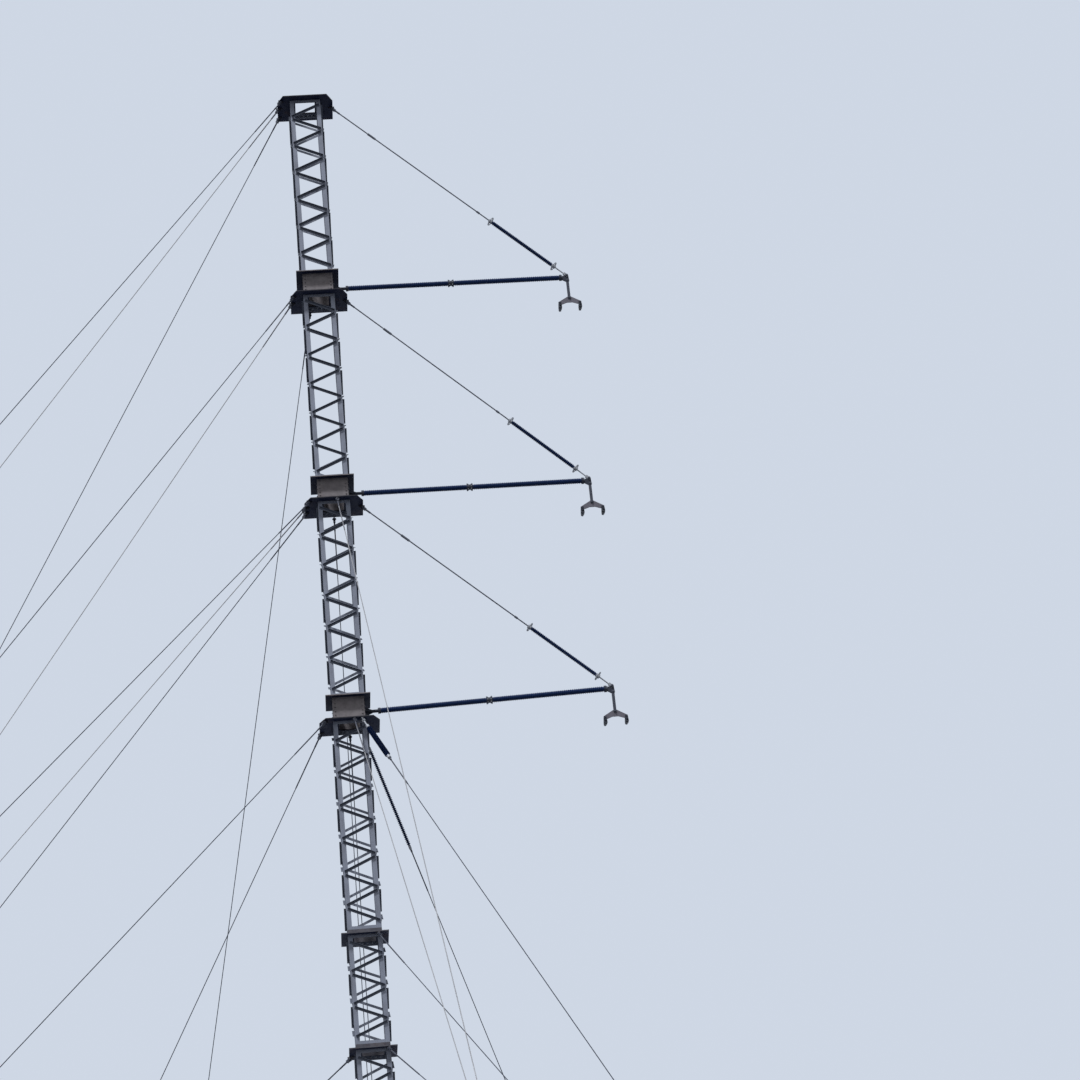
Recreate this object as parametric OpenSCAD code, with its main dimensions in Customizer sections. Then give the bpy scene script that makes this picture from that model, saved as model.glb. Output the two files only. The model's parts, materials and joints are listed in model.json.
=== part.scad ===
// Guyed lattice mast with three horizontal insulator arms.
// Millimetres. X runs out along the arms, Y along the line, Z up.
// The origin is the middle of the foundation plate's underside.

/* [Column] */
// Outer width of the square column, over the legs
column_w = 660; // [600:10:700]
// Length of a long column section
long_l = 4267; // [3600:1:4600]
// Length of a short column section
short_l = 2134; // [1700:1:2600]
// Width of a leg angle's flange
leg_w = 89; // [70:1:100]
// Thickness of a leg angle
leg_t = 9; // [6:0.5:12]
// Width of a lacing angle's flat flange
lace_w = 50; // [30:1:56]
// Depth of a lacing angle's outstanding flange
lace_d = 43; // [25:1:50]
// Thickness of a lacing angle
lace_t = 6; // [4:0.5:8]
// Lacing bars on one face of a long section
long_bars = 12; // [8:2:14]
// Lacing bars on one face of a short section
short_bars = 6; // [4:2:6]
// Height of the first lacing node above a section's end
lace_end = 110; // [95:1:140]
// Distance between the ends of two lacing bars on a leg
lace_gap = 66; // [60:1:150]
// How far a lacing bar laps onto a leg
lace_lap = 62; // [40:1:66]
// Height of the frame that closes a section's end
frame_h = 60; // [40:1:80]
// Thickness of the end frame's flat flange
frame_t = 10; // [6:0.5:16]

/* [Guy plates and boxes] */
// Half width of a guy plate, along the arms
guy_plate_x = 602; // [580:1:640]
// Half depth of a guy plate, along the line
guy_plate_y = 510; // [500:1:560]
// Width that the cut at a guy plate's front corner takes off
corner_x = 130; // [80:1:160]
// Depth that the cut at a guy plate's front corner takes off
corner_y = 280; // [160:1:300]
// Distance of a guy's pin inside the edge of its plate
pin_inset = 10; // [0:1:20]
// Thickness of guy plates and box plates
plate_t = 20; // [14:1:30]
// Width of the square opening through the plates
plate_hole = 420; // [250:10:440]
// Width of the square cover plate over a box
cover_w = 895; // [800:5:960]
// Outer width of a box
box_w = 628; // [580:2:660]
// Height of a box between its plates
box_h = 490; // [440:1:600]
// Thickness of the box walls
box_t = 8; // [5:0.5:14]
// Half width of a joint plate
joint_plate_w = 460; // [425:1:500]
// Height of the spacer frame on a joint plate
spacer_h = 90; // [50:1:120]

/* [Foot] */
// Width of the square foundation plate
foundation_w = 1300; // [1100:10:1600]
// Thickness of the foundation plate
foundation_t = 30; // [20:1:50]
// Height from the foundation plate to the column's foot
gimbal_h = 270; // [240:1:340]
// Radius of the gimbal pins
gimbal_pin_r = 30; // [20:1:36]

/* [Insulator arms] */
// Distance of the arm's end node from the mast's axis
node_x = 5305; // [4900:5:5600]
// Height of a post above its guy plate's underside
post_z = 275; // [200:1:320]
// Rise of the lower, middle and upper post from its root to its end
rise_lower = 145; // [-60:5:180]
rise_middle = -30; // [-60:5:180]
rise_upper = -30; // [-60:5:180]
// Length of the bracket between a box and its post
bracket_l = 315; // [240:5:380]
// Distance of a post's coupling from the mast's axis
coupling_x = 2827; // [2500:1:3100]
// Length of the coupling in the middle of a post
coupling_l = 120; // [80:1:160]
// Radius over the sheds of a post
post_r = 62; // [56:1:80]
// Radius of a post's rod between the sheds
post_core_r = 49; // [25:1:52]
// Distance between the sheds of a post
post_pitch = 42; // [36:1:100]
// Radius over the sheds of a stay insulator
stay_r = 45; // [40:1:60]
// Radius of a stay insulator's rod
stay_core_r = 32; // [14:1:36]
// Distance between the sheds of a stay insulator
stay_pitch = 40; // [34:1:90]
// Length of a stay insulator over its end fittings
stay_insulator_l = 1800; // [1200:10:2000]
// Distance from the end node to a stay insulator
stay_tail_l = 310; // [280:5:600]
// Radius of a stay rod
stay_rod_r = 13; // [8:1:20]
// Distance of a stay's turnbuckle from its upper pin
stay_turnbuckle_z = 1010; // [600:10:1500]
// Radius of the grading rings, to the middle of the tube
ring_r = 90; // [70:1:120]

/* [Hanging yokes] */
// Length of a hanging link between its pins
link_l = 420; // [340:5:520]
// Distance between the two clamps of a yoke
clamp_gap = 430; // [300:5:480]
// Drop from a yoke's pin to its clamps
clamp_drop = 230; // [190:5:300]
// Radius of the conductor that a clamp grips
conductor_r = 15; // [8:0.5:20]
// Length of a clamp along the conductor
clamp_l = 240; // [160:5:320]

/* [Guys] */
// Radius of a guy wire
guy_r = 8; // [5:0.5:9]
// Radius of the wrapped grip at a guy's ends
grip_r = 12; // [10:0.5:14]
// Length of the wrapped grip at a guy's ends
grip_l = 900; // [500:10:1400]
// Drop of a guy's pin below its plate
guy_pin_drop = 50; // [45:1:80]
// Length of the insulator in the front right guy
front_insulator_l = 1250; // [900:10:1600]
// Radius over the sheds of the front right guy's insulator
front_insulator_r = 56; // [40:1:70]
// Length of the insulator in the back right guy
back_insulator_l = 2300; // [1800:10:2800]
// Radius over the sheds of the back right guy's insulator
back_insulator_r = 40; // [34:1:50]
// Width of a ground anchor's plate
anchor_w = 600; // [400:10:700]
// Height of a ground anchor's pin
anchor_pin_z = 90; // [80:1:140]

/* [Hidden] */

// Anchors of each plate's guys, as the bearing from the arms and the distance.
// No two bearings are alike, so that no guy crosses another.
top_anchors = [[213, 27700], [184, 27000], [150, 27300]];
upper_anchors = [[209, 24200], [180, 22000], [112.5, 18800]];
middle_anchors = [[217, 25950], [188, 23400], [161, 26450], [90, 20000], [278, 17900]];
lower_anchors = [[221, 22950], [153, 14500], [89.6, 17000], [281, 16700]];
right_anchors = [[297, 18950], [60, 18000]];
upper_joint_anchors = [[300, 18600]];
lower_joint_anchors = [[160, 22000], [303, 20000]];

// Running clearance round pins, and between pieces that meet
clear = 0.3;
// How far fused pieces reach into each other
bite = 1;
// Thickness of a lug and of a fork's cheek, and a pin's radius
lug_t = 20;
cheek_t = 12;
pin_r = 12;
// Radius of a lug round its pin, and its length from the pin inwards
lug_r = 42;
lug_l = 90;
half_w = column_w/2;

// Heights of the stack, from the ground up
foot_z = foundation_t + gimbal_h;
lower_1_z = foot_z + short_l;
lower_2_z = lower_1_z + long_l;
lower_3_z = lower_2_z + long_l;
lower_joint_z = lower_3_z + long_l;
joint_h = plate_t + spacer_h;
short_z = lower_joint_z + joint_h;
upper_joint_z = short_z + short_l;
mast_1_z = upper_joint_z + joint_h;
lower_z = mast_1_z + long_l;
level_h = 2*plate_t + box_h;
mast_2_z = lower_z + level_h;
middle_z = mast_2_z + long_l;
mast_3_z = middle_z + level_h;
upper_z = mast_3_z + long_l;
mast_4_z = upper_z + level_h;
top_z = mast_4_z + long_l;

// One leg angle's outline with its heel at the origin
module angle_outline() {
    polygon([[0, 0], [leg_w, 0], [leg_w, leg_t], [leg_t, leg_t], [leg_t, leg_w], [0, leg_w]]);
}

// A lacing angle's outline: one flange flat on the legs, the other standing out at its top
module lace_outline() {
    polygon([
        [-lace_w/2, -bite], [lace_w/2, -bite], [lace_w/2, lace_d],
        [lace_w/2 - lace_t, lace_d], [lace_w/2 - lace_t, lace_t], [-lace_w/2, lace_t],
    ]);
}

// The zigzag of angles on a section's +Y face, from the side where the lowest one starts
module lacing(l, bars, first) {
    node_rise = (l - 2*lace_end)/bars;
    rise = node_rise - lace_gap;
    reach = half_w - leg_w + lace_lap;
    for (i = [0:bars - 1]) {
        side = i%2 == 0 ? first : -first;
        start = lace_end + i*node_rise + lace_gap/2;
        translate([reach, half_w, start + (side > 0 ? 0 : rise)])
            rotate([0, atan2(-2*reach, side*rise), 0])
                linear_extrude(norm([2*reach, rise]))
                    lace_outline();
    }
}

// The angle frame that closes a section's end, with its flange down
module end_frame() {
    difference() {
        linear_extrude(frame_h)
            square(column_w, center = true);
        translate([0, 0, frame_t])
            linear_extrude(frame_h)
                square(column_w - 2*leg_t, center = true);
        translate([0, 0, -bite])
            linear_extrude(frame_h)
                square(column_w - 2*leg_w, center = true);
    }
}

// A column section. With first = -1 it stands turned by a quarter, so its zigzags change sides.
module column_section(z, l, bars, first = 1) {
    color("lightsteelblue")
        translate([0, 0, z]) {
            linear_extrude(l)
                for (a = [0:90:270])
                    rotate(a)
                        translate([-half_w, -half_w])
                            angle_outline();
            for (a = [0:90:270])
                rotate([0, 0, a])
                    lacing(l, bars, a%180 == 0 ? first : -first);
            end_frame();
            translate([0, 0, l])
                mirror([0, 0, 1])
                    end_frame();
        }
}

// Distance from the axis to a guy plate's edge, along a bearing; only the front corners are cut
function cut_reach(c, s) =
    (corner_y*guy_plate_x + corner_x*(guy_plate_y - corner_y))/(corner_y*c + corner_x*s);
function plate_reach(b) =
    let (c = abs(cos(b)), s = abs(sin(b)))
    min(
        c*guy_plate_y > s*guy_plate_x ? guy_plate_x/c : guy_plate_y/s,
        sin(b) < 0 ? cut_reach(c, s) : 2*guy_plate_x
    );

// Distance of a guy's pin from the axis, at a guy plate and at a joint plate
function guy_pin(b) = plate_reach(b) - pin_inset;
function joint_pin(b) = joint_plate_w/max(abs(cos(b)), abs(sin(b))) - pin_inset;

// A lug that hangs below a plate, in the plane of a bearing
module lug(bearing, pin_reach) {
    inner = pin_reach - lug_l;
    rotate([0, 0, bearing])
        rotate([90, 0, 0])
            translate([0, 0, -lug_t/2])
                linear_extrude(lug_t)
                    difference() {
                        union() {
                            translate([pin_reach, -guy_pin_drop])
                                circle(lug_r, $fn = 48);
                            polygon([
                                [inner, 0], [pin_reach + lug_r, 0], [pin_reach + lug_r, -guy_pin_drop],
                                [pin_reach, -guy_pin_drop - lug_r], [inner, -lug_r/2],
                            ]);
                        }
                        translate([pin_reach, -guy_pin_drop])
                            circle(pin_r + clear, $fn = 32);
                    }
}

module guy_plate(z, bearings) {
    color("dimgray")
        translate([0, 0, z]) {
            linear_extrude(plate_t)
                difference() {
                    polygon([
                        [guy_plate_x, guy_plate_y], [-guy_plate_x, guy_plate_y],
                        [-guy_plate_x, corner_y - guy_plate_y], [corner_x - guy_plate_x, -guy_plate_y],
                        [guy_plate_x - corner_x, -guy_plate_y], [guy_plate_x, corner_y - guy_plate_y],
                    ]);
                    square(plate_hole, center = true);
                }
            for (b = bearings)
                lug(b, guy_pin(b));
        }
}

// A box: four walls with corner angles inside, under a square cover plate
module box_section(z) {
    color("gray")
        translate([0, 0, z + plate_t]) {
            linear_extrude(box_h)
                difference() {
                    square(box_w, center = true);
                    square(box_w - 2*box_t, center = true);
                }
            translate([0, 0, box_h])
                linear_extrude(plate_t)
                    difference() {
                        square(cover_w, center = true);
                        square(plate_hole, center = true);
                    }
            linear_extrude(box_h)
                for (a = [0:90:270])
                    rotate(a)
                        translate([-box_w/2, -box_w/2])
                            angle_outline();
        }
}

// A joint plate with a spacer frame above it
module joint_plate(z, bearings) {
    color("dimgray")
        translate([0, 0, z]) {
            linear_extrude(plate_t)
                difference() {
                    square(2*joint_plate_w, center = true);
                    square(plate_hole, center = true);
                }
            translate([0, 0, plate_t])
                linear_extrude(spacer_h)
                    difference() {
                        square(column_w, center = true);
                        square(column_w - 2*leg_w, center = true);
                    }
            for (b = bearings)
                lug(b, joint_pin(b));
        }
}

// Turns the Z axis outwards and down, from a point
module along(p, fall) {
    translate(p)
        rotate([0, 90 + fall, 0])
            children();
}

// A fork with its pin: the pin lies along Y at the origin, the shank runs up Z
fork_half_w = 28;
fork_throat = lug_r + 6;
fork_bridge = 30;
pin_head = 10;
module fork(shank_l, shank_r) {
    gap = lug_t/2 + clear;
    shank_z = fork_throat + fork_bridge - bite;
    for (s = [-1, 1])
        translate([-fork_half_w, s > 0 ? gap : -gap - cheek_t, -fork_half_w])
            cube([2*fork_half_w, cheek_t, fork_throat + fork_half_w + bite]);
    translate([-fork_half_w, -gap - cheek_t, fork_throat])
        cube([2*fork_half_w, 2*(gap + cheek_t), fork_bridge]);
    rotate([90, 0, 0])
        cylinder(h = 2*(gap + cheek_t + pin_head), r = pin_r, center = true, $fn = 32);
    translate([0, 0, shank_z])
        cylinder(h = shank_l - shank_z, r = shank_r, $fn = 32);
}

// Outline of a shedded rod, for a revolve: each shed slopes on top and is flat below
shed_t = 8;
shed_rim = 3;
function shed_outline(l, core, tip, pitch) =
    let (n = floor((l - pitch/2)/pitch), start = (l - (n - 1)*pitch)/2)
    concat(
        [[0, 0], [core, 0]],
        [for (i = [0:n - 1]) each [
            [core, start + i*pitch - shed_t], [tip, start + i*pitch - shed_rim],
            [tip, start + i*pitch], [core, start + i*pitch + shed_t/2],
        ]],
        [[core, l], [0, l]]
    );

module sheds(l, core, tip, pitch) {
    rotate_extrude($fn = 48)
        polygon(shed_outline(l, core, tip, pitch));
}

// A rod insulator with a metal fitting at each end
fitting_l = 80;
fitting_wall = 8;
module rod_insulator(l, core, tip, pitch) {
    for (h = [0, l - fitting_l])
        translate([0, 0, h])
            cylinder(h = fitting_l, r = core + fitting_wall, $fn = 32);
    translate([0, 0, fitting_l])
        sheds(l - 2*fitting_l, core, tip, pitch);
}

// Post geometry, outwards from the box wall to the end node
root_plate_t = 12;
root_x = box_w/2 + root_plate_t;
neck_r = 32;
neck_flange_l = 55;
rib_l = 150;
post_end = 150;
end_flange_l = 50;
// Pins at the end node, from the node's centre, outwards and up
stay_pin = [10, 50];
link_pin = [20, -75];

// The post's body along Z, from its root at the origin
module post_body() {
    coupling_z = coupling_x - root_x;
    end_z = node_x - post_end - root_x;
    translate([0, 0, -bite])
        cylinder(h = bracket_l + 2*bite, r = neck_r, $fn = 32);
    translate([0, 0, bracket_l - neck_flange_l])
        cylinder(h = neck_flange_l, r = post_core_r + 12, $fn = 32);
    translate([0, 0, bracket_l])
        sheds(coupling_z - coupling_l/2 - bracket_l, post_core_r, post_r, post_pitch);
    translate([0, 0, coupling_z - coupling_l/2])
        cylinder(h = coupling_l, r = post_core_r + fitting_wall, $fn = 32);
    for (s = [-1, 1])
        translate([0, 0, coupling_z + s*(coupling_l/2 - 10)])
            cylinder(h = 20, r = post_r + 18, center = true, $fn = 32);
    translate([0, 0, coupling_z + coupling_l/2])
        sheds(end_z - coupling_z - coupling_l/2, post_core_r, post_r, post_pitch);
    translate([0, 0, end_z])
        cylinder(h = end_flange_l, r = post_r + 6, $fn = 48);
}

module post(z, rise) {
    color("darkslategray")
        translate([0, 0, z + post_z]) {
            translate([root_x, 0, 0])
                rotate([0, 90 - atan2(rise, node_x - root_x), 0])
                    post_body();
            root_bracket();
            translate([node_x, 0, rise])
                end_node();
        }
}

// The plate on the box wall, with an upright and a level rib along the post's neck
module root_bracket() {
    translate([box_w/2, -120, -110])
        cube([root_plate_t + clear, 240, 220]);
    for (a = [0, 90])
        rotate([a, 0, 0])
            translate([root_x, root_plate_t/2, 0])
                rotate([90, 0, 0])
                    linear_extrude(root_plate_t)
                        polygon([[0, -100], [rib_l, -neck_r], [rib_l, neck_r], [0, 100]]);
}

// The upright plate at an arm's end, with a lug for the stay and one for the hanging link
module end_node() {
    translate([0, lug_t/2, 0])
        rotate([90, 0, 0])
            linear_extrude(lug_t)
                difference() {
                    union() {
                        polygon([
                            [-post_end + end_flange_l - 10, -45], [-post_end + end_flange_l - 10, 40],
                            [stay_pin[0] - 35, stay_pin[1] - 8], [stay_pin[0] + lug_r - 2, stay_pin[1]],
                            [link_pin[0] + lug_r - 2, link_pin[1]], [link_pin[0] - 30, link_pin[1] - 30],
                        ]);
                        translate(stay_pin)
                            circle(lug_r, $fn = 48);
                        translate(link_pin)
                            circle(lug_r, $fn = 48);
                    }
                    translate(stay_pin)
                        circle(pin_r + clear, $fn = 32);
                    translate(link_pin)
                        circle(pin_r + clear, $fn = 32);
                }
}

// Stay geometry: from the guy plate above down to the end node, at a post's rise
stay_top = [guy_pin(0), 0, long_l + level_h - guy_pin_drop];
function stay_span(rise) =
    [node_x + stay_pin[0] - stay_top[0], stay_top[2] - post_z - rise - stay_pin[1]];
function stay_fall(rise) = atan2(stay_span(rise)[1], stay_span(rise)[0]);
function stay_rod_l(rise) = norm(stay_span(rise)) - stay_insulator_l - stay_tail_l;
stay_fork_l = 200;
stay_turnbuckle_l = 190;
// Distance from a stay rod's end back to its joint sleeve, and the sleeve's length
sleeve_back = 340;
sleeve_l = 70;
ring_tube_r = 11;

module stay_rod(z, rise) {
    rod_l = stay_rod_l(rise);
    color("gray")
        along([stay_top[0], 0, z + stay_top[2]], stay_fall(rise)) {
            fork(stay_fork_l, stay_rod_r + 6);
            translate([0, 0, stay_fork_l - bite])
                cylinder(h = rod_l - stay_fork_l + bite, r = stay_rod_r, $fn = 24);
            translate([0, 0, stay_turnbuckle_z])
                cylinder(h = stay_turnbuckle_l, r = 2*stay_rod_r, $fn = 6);
            translate([0, 0, rod_l - sleeve_back])
                cylinder(h = sleeve_l, r = stay_rod_r + 9, $fn = 32);
        }
}

module stay_insulator(z, rise) {
    color("darkslategray")
        along([stay_top[0], 0, z + stay_top[2]], stay_fall(rise))
            translate([0, 0, stay_rod_l(rise) + clear]) {
                rod_insulator(stay_insulator_l, stay_core_r, stay_r, stay_pitch);
                for (h = [fitting_l/2, stay_insulator_l - fitting_l/2])
                    translate([0, 0, h]) {
                        rotate_extrude($fn = 48)
                            translate([ring_r, 0])
                                circle(ring_tube_r, $fn = 16);
                        cube([2*ring_r, ring_tube_r, ring_tube_r], center = true);
                    }
                translate([0, 0, stay_insulator_l + stay_tail_l - clear])
                    mirror([0, 0, 1])
                        fork(stay_tail_l, stay_rod_r);
            }
}

// A hanging link: two flat bars with a pin at each end
link_gap = lug_t/2 + 1.5;
link_half_w = 28;
link_eye_r = 34;
module hanging_link(z, rise) {
    color("gray")
        translate([node_x + link_pin[0], 0, z + post_z + rise + link_pin[1]]) {
            for (s = [-1, 1])
                translate([0, s > 0 ? link_gap + cheek_t : -link_gap, 0])
                    rotate([90, 0, 0])
                        linear_extrude(cheek_t) {
                            translate([-link_half_w, -link_l])
                                square([2*link_half_w, link_l]);
                            for (h = [0, -link_l])
                                translate([0, h])
                                    circle(link_eye_r, $fn = 32);
                        }
            for (h = [0, -link_l])
                translate([0, 0, h])
                    rotate([90, 0, 0])
                        cylinder(h = 2*(link_gap + cheek_t + 8), r = pin_r, center = true, $fn = 32);
        }
}

// A yoke: a shallow arched plate with two clamps for the conductors hung from its ends
clamp_wall = 14;
clamp_body_r = 38;
clamp_body_l = 90;
clamp_head_z = 125;
module yoke_plate() {
    foot = clamp_gap/2 + 28;
    foot_z = clamp_head_z - clamp_drop - 30;
    difference() {
        union() {
            circle(lug_r - 2, $fn = 48);
            polygon([
                [-30, 32], [30, 32], [foot, foot_z + 42], [foot, foot_z],
                [foot - 72, foot_z - 16], [60, foot_z + 24], [-60, foot_z + 24],
                [72 - foot, foot_z - 16], [-foot, foot_z], [-foot, foot_z + 42],
            ]);
        }
        circle(pin_r + clear, $fn = 32);
    }
}

// A clamp along Y with its conductor's axis at the origin
module conductor_clamp() {
    rotate([90, 0, 0])
        difference() {
            union() {
                cylinder(h = clamp_l, r = conductor_r + clamp_wall, center = true, $fn = 32);
                translate([0, 0, -clamp_body_l/2])
                    linear_extrude(clamp_body_l) {
                        circle(clamp_body_r, $fn = 48);
                        polygon([[-clamp_body_r, 0], [clamp_body_r, 0], [27, clamp_head_z], [-27, clamp_head_z]]);
                    }
            }
            cylinder(h = clamp_l + 2, r = conductor_r, center = true, $fn = 32);
        }
}

module yoke(z, rise) {
    color("slategray")
        translate([node_x + link_pin[0], 0, z + post_z + rise + link_pin[1] - link_l]) {
            translate([0, lug_t/2, 0])
                rotate([90, 0, 0])
                    linear_extrude(lug_t)
                        yoke_plate();
            for (s = [-1, 1])
                translate([s*clamp_gap/2, 0, -clamp_drop])
                    conductor_clamp();
        }
}

// A guy's drop and its length, from a plate's pin to its anchor's pin
function guy_drop(z) = z - guy_pin_drop - anchor_pin_z;
function guy_l(z, anchor, pin_reach) = norm([guy_drop(z), anchor[1] - pin_reach]);

// Puts the Z axis along a guy, from its pin at the plate
module guy_line(z, anchor, pin_reach) {
    rotate([0, 0, anchor[0]])
        along([pin_reach, 0, z - guy_pin_drop], atan2(guy_drop(z), anchor[1] - pin_reach))
            children();
}

// The wire of a guy from a start along it, with a grip at each end, down to the anchor
guy_fork_l = 260;
anchor_fork_l = 345;
turnbuckle_l = 420;
turnbuckle_r = 28;
module guy_wire(start, l) {
    turnbuckle_z = l - anchor_fork_l - turnbuckle_l + bite;
    translate([0, 0, start])
        cylinder(h = turnbuckle_z - start + bite, r = guy_r, $fn = 16);
    for (h = [start, turnbuckle_z - grip_l + bite])
        translate([0, 0, h])
            cylinder(h = grip_l, r = grip_r, $fn = 16);
    translate([0, 0, turnbuckle_z])
        cylinder(h = turnbuckle_l, r = turnbuckle_r, $fn = 6);
    translate([0, 0, l])
        mirror([0, 0, 1])
            fork(anchor_fork_l, grip_r + 4);
}

// A guy with a fork at both ends
module guy(z, anchor, pin_reach) {
    guy_line(z, anchor, pin_reach) {
        fork(guy_fork_l, grip_r + 4);
        guy_wire(guy_fork_l - bite, guy_l(z, anchor, pin_reach));
    }
}

module guys(z, anchors) {
    color("darkgray")
        for (a = anchors)
            guy(z, a, guy_pin(a[0]));
}

module joint_guys(z, anchors) {
    color("darkgray")
        for (a = anchors)
            guy(z, a, joint_pin(a[0]));
}

// The two right guys begin with an insulator: its length and its radius over the sheds
right_insulators = [[front_insulator_l, front_insulator_r], [back_insulator_l, back_insulator_r]];
socket_l = 70;

module guy_insulators(z) {
    color("darkslategray")
        for (i = [0, 1])
            guy_line(z, right_anchors[i], guy_pin(right_anchors[i][0])) {
                fork(guy_fork_l, grip_r + 4);
                translate([0, 0, guy_fork_l - bite])
                    rod_insulator(right_insulators[i][0], right_insulators[i][1]/2,
                        right_insulators[i][1], stay_pitch);
            }
}

module right_guys(z) {
    color("darkgray")
        for (i = [0, 1])
            guy_line(z, right_anchors[i], guy_pin(right_anchors[i][0])) {
                start = guy_fork_l - bite + right_insulators[i][0] + clear;
                translate([0, 0, start])
                    cylinder(h = socket_l, r = grip_r + 7, $fn = 32);
                guy_wire(start, guy_l(z, right_anchors[i], guy_pin(right_anchors[i][0])));
            }
}

anchor_plate_t = 20;
module ground_anchor(bearing, reach) {
    rotate([0, 0, bearing])
        translate([reach, 0, 0]) {
            translate([-anchor_w/2, -anchor_w/2, 0])
                cube([anchor_w, anchor_w, anchor_plate_t]);
            translate([0, lug_t/2, 0])
                rotate([90, 0, 0])
                    linear_extrude(lug_t)
                        difference() {
                            union() {
                                translate([0, anchor_pin_z])
                                    circle(lug_r, $fn = 48);
                                polygon([[-110, anchor_plate_t - bite], [110, anchor_plate_t - bite],
                                    [lug_r - bite, anchor_pin_z], [bite - lug_r, anchor_pin_z]]);
                            }
                            translate([0, anchor_pin_z])
                                circle(pin_r + clear, $fn = 32);
                        }
        }
}

module ground_anchors() {
    color("darkgray")
        for (a = concat(top_anchors, upper_anchors, middle_anchors, lower_anchors, right_anchors,
                        upper_joint_anchors, lower_joint_anchors))
            ground_anchor(a[0], a[1]);
}

module foundation_plate() {
    color("gray")
        translate([-foundation_w/2, -foundation_w/2, 0])
            cube([foundation_w, foundation_w, foundation_t]);
}

// Lower half of the gimbal: two cheeks that hold the lower pin along X
gimbal_z = foundation_t + gimbal_h/2;
gimbal_cheek_x = 100;
gimbal_cheek_t = 30;
gimbal_plate_t = 20;
module gimbal_base() {
    color("dimgray")
        translate([0, 0, foundation_t]) {
            translate([-200, -200, 0])
                cube([400, 400, gimbal_plate_t]);
            for (s = [-1, 1])
                difference() {
                    translate([s > 0 ? gimbal_cheek_x : -gimbal_cheek_x - gimbal_cheek_t, -70,
                               gimbal_plate_t - bite])
                        cube([gimbal_cheek_t, 140, gimbal_h/2 + 30]);
                    translate([0, 0, gimbal_h/2])
                        rotate([0, 90, 0])
                            cylinder(h = 300, r = gimbal_pin_r + clear, center = true, $fn = 48);
                }
        }
}

// Upper half of the gimbal: the cross block with its pins and the head plate
gimbal_block_h = 110;
module gimbal_head() {
    color("dimgray")
        translate([0, 0, gimbal_z]) {
            cube([2*gimbal_cheek_x - 10, 190, gimbal_block_h], center = true);
            rotate([0, 90, 0])
                cylinder(h = 290, r = gimbal_pin_r, center = true, $fn = 48);
            translate([0, 0, gimbal_block_h/2 - bite])
                cylinder(h = (gimbal_h - gimbal_block_h)/2 - gimbal_plate_t + 2*bite, r = 75, $fn = 48);
            translate([-half_w, -half_w, gimbal_h/2 - gimbal_plate_t])
                cube([column_w, column_w, gimbal_plate_t]);
        }
}

function bearings(anchors) = [for (a = anchors) a[0]];

foundation_plate();
gimbal_base();
gimbal_head();
column_section(foot_z, short_l, short_bars);  // foot_section
column_section(lower_1_z, long_l, long_bars);  // lower_section_1
column_section(lower_2_z, long_l, long_bars);  // lower_section_2
column_section(lower_3_z, long_l, long_bars);  // lower_section_3
joint_plate(lower_joint_z, bearings(lower_joint_anchors));  // lower_joint_plate
column_section(short_z, short_l, short_bars);  // short_section
joint_plate(upper_joint_z, bearings(upper_joint_anchors));  // upper_joint_plate
column_section(mast_1_z, long_l, long_bars, -1);  // mast_section_1
column_section(mast_2_z, long_l, long_bars);  // mast_section_2
column_section(mast_3_z, long_l, long_bars);  // mast_section_3
column_section(mast_4_z, long_l, long_bars, -1);  // mast_section_4
guy_plate(lower_z, bearings(concat(lower_anchors, right_anchors)));  // guy_plate_lower
guy_plate(middle_z, concat([0], bearings(middle_anchors)));  // guy_plate_middle
guy_plate(upper_z, concat([0], bearings(upper_anchors)));  // guy_plate_upper
guy_plate(top_z, concat([0], bearings(top_anchors)));  // guy_plate_top
box_section(lower_z);  // box_lower
box_section(middle_z);  // box_middle
box_section(upper_z);  // box_upper
post(lower_z, rise_lower);  // post_lower
post(middle_z, rise_middle);  // post_middle
post(upper_z, rise_upper);  // post_upper
stay_rod(lower_z, rise_lower);  // stay_rod_lower
stay_rod(middle_z, rise_middle);  // stay_rod_middle
stay_rod(upper_z, rise_upper);  // stay_rod_upper
stay_insulator(lower_z, rise_lower);  // stay_insulator_lower
stay_insulator(middle_z, rise_middle);  // stay_insulator_middle
stay_insulator(upper_z, rise_upper);  // stay_insulator_upper
hanging_link(lower_z, rise_lower);  // link_lower
hanging_link(middle_z, rise_middle);  // link_middle
hanging_link(upper_z, rise_upper);  // link_upper
yoke(lower_z, rise_lower);  // yoke_lower
yoke(middle_z, rise_middle);  // yoke_middle
yoke(upper_z, rise_upper);  // yoke_upper
guys(top_z, top_anchors);  // guys_top
guys(upper_z, upper_anchors);  // guys_upper
guys(middle_z, middle_anchors);  // guys_middle
guys(lower_z, lower_anchors);  // guys_lower
right_guys(lower_z);  // guys_lower_right
guy_insulators(lower_z);
joint_guys(upper_joint_z, upper_joint_anchors);  // guys_upper_joint
joint_guys(lower_joint_z, lower_joint_anchors);  // guys_lower_joint
ground_anchors();
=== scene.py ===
# Guyed lattice mast with insulator arms: its finishes, fasteners, strand and stage.
# Metres, in the model's own frame: X out along the arms, Y along the line, Z up.

import json
import math

import bmesh
import bpy
import numpy as np
from bpy.props import FloatProperty, FloatVectorProperty, IntProperty, PointerProperty
from mathutils import Matrix, Vector


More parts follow.
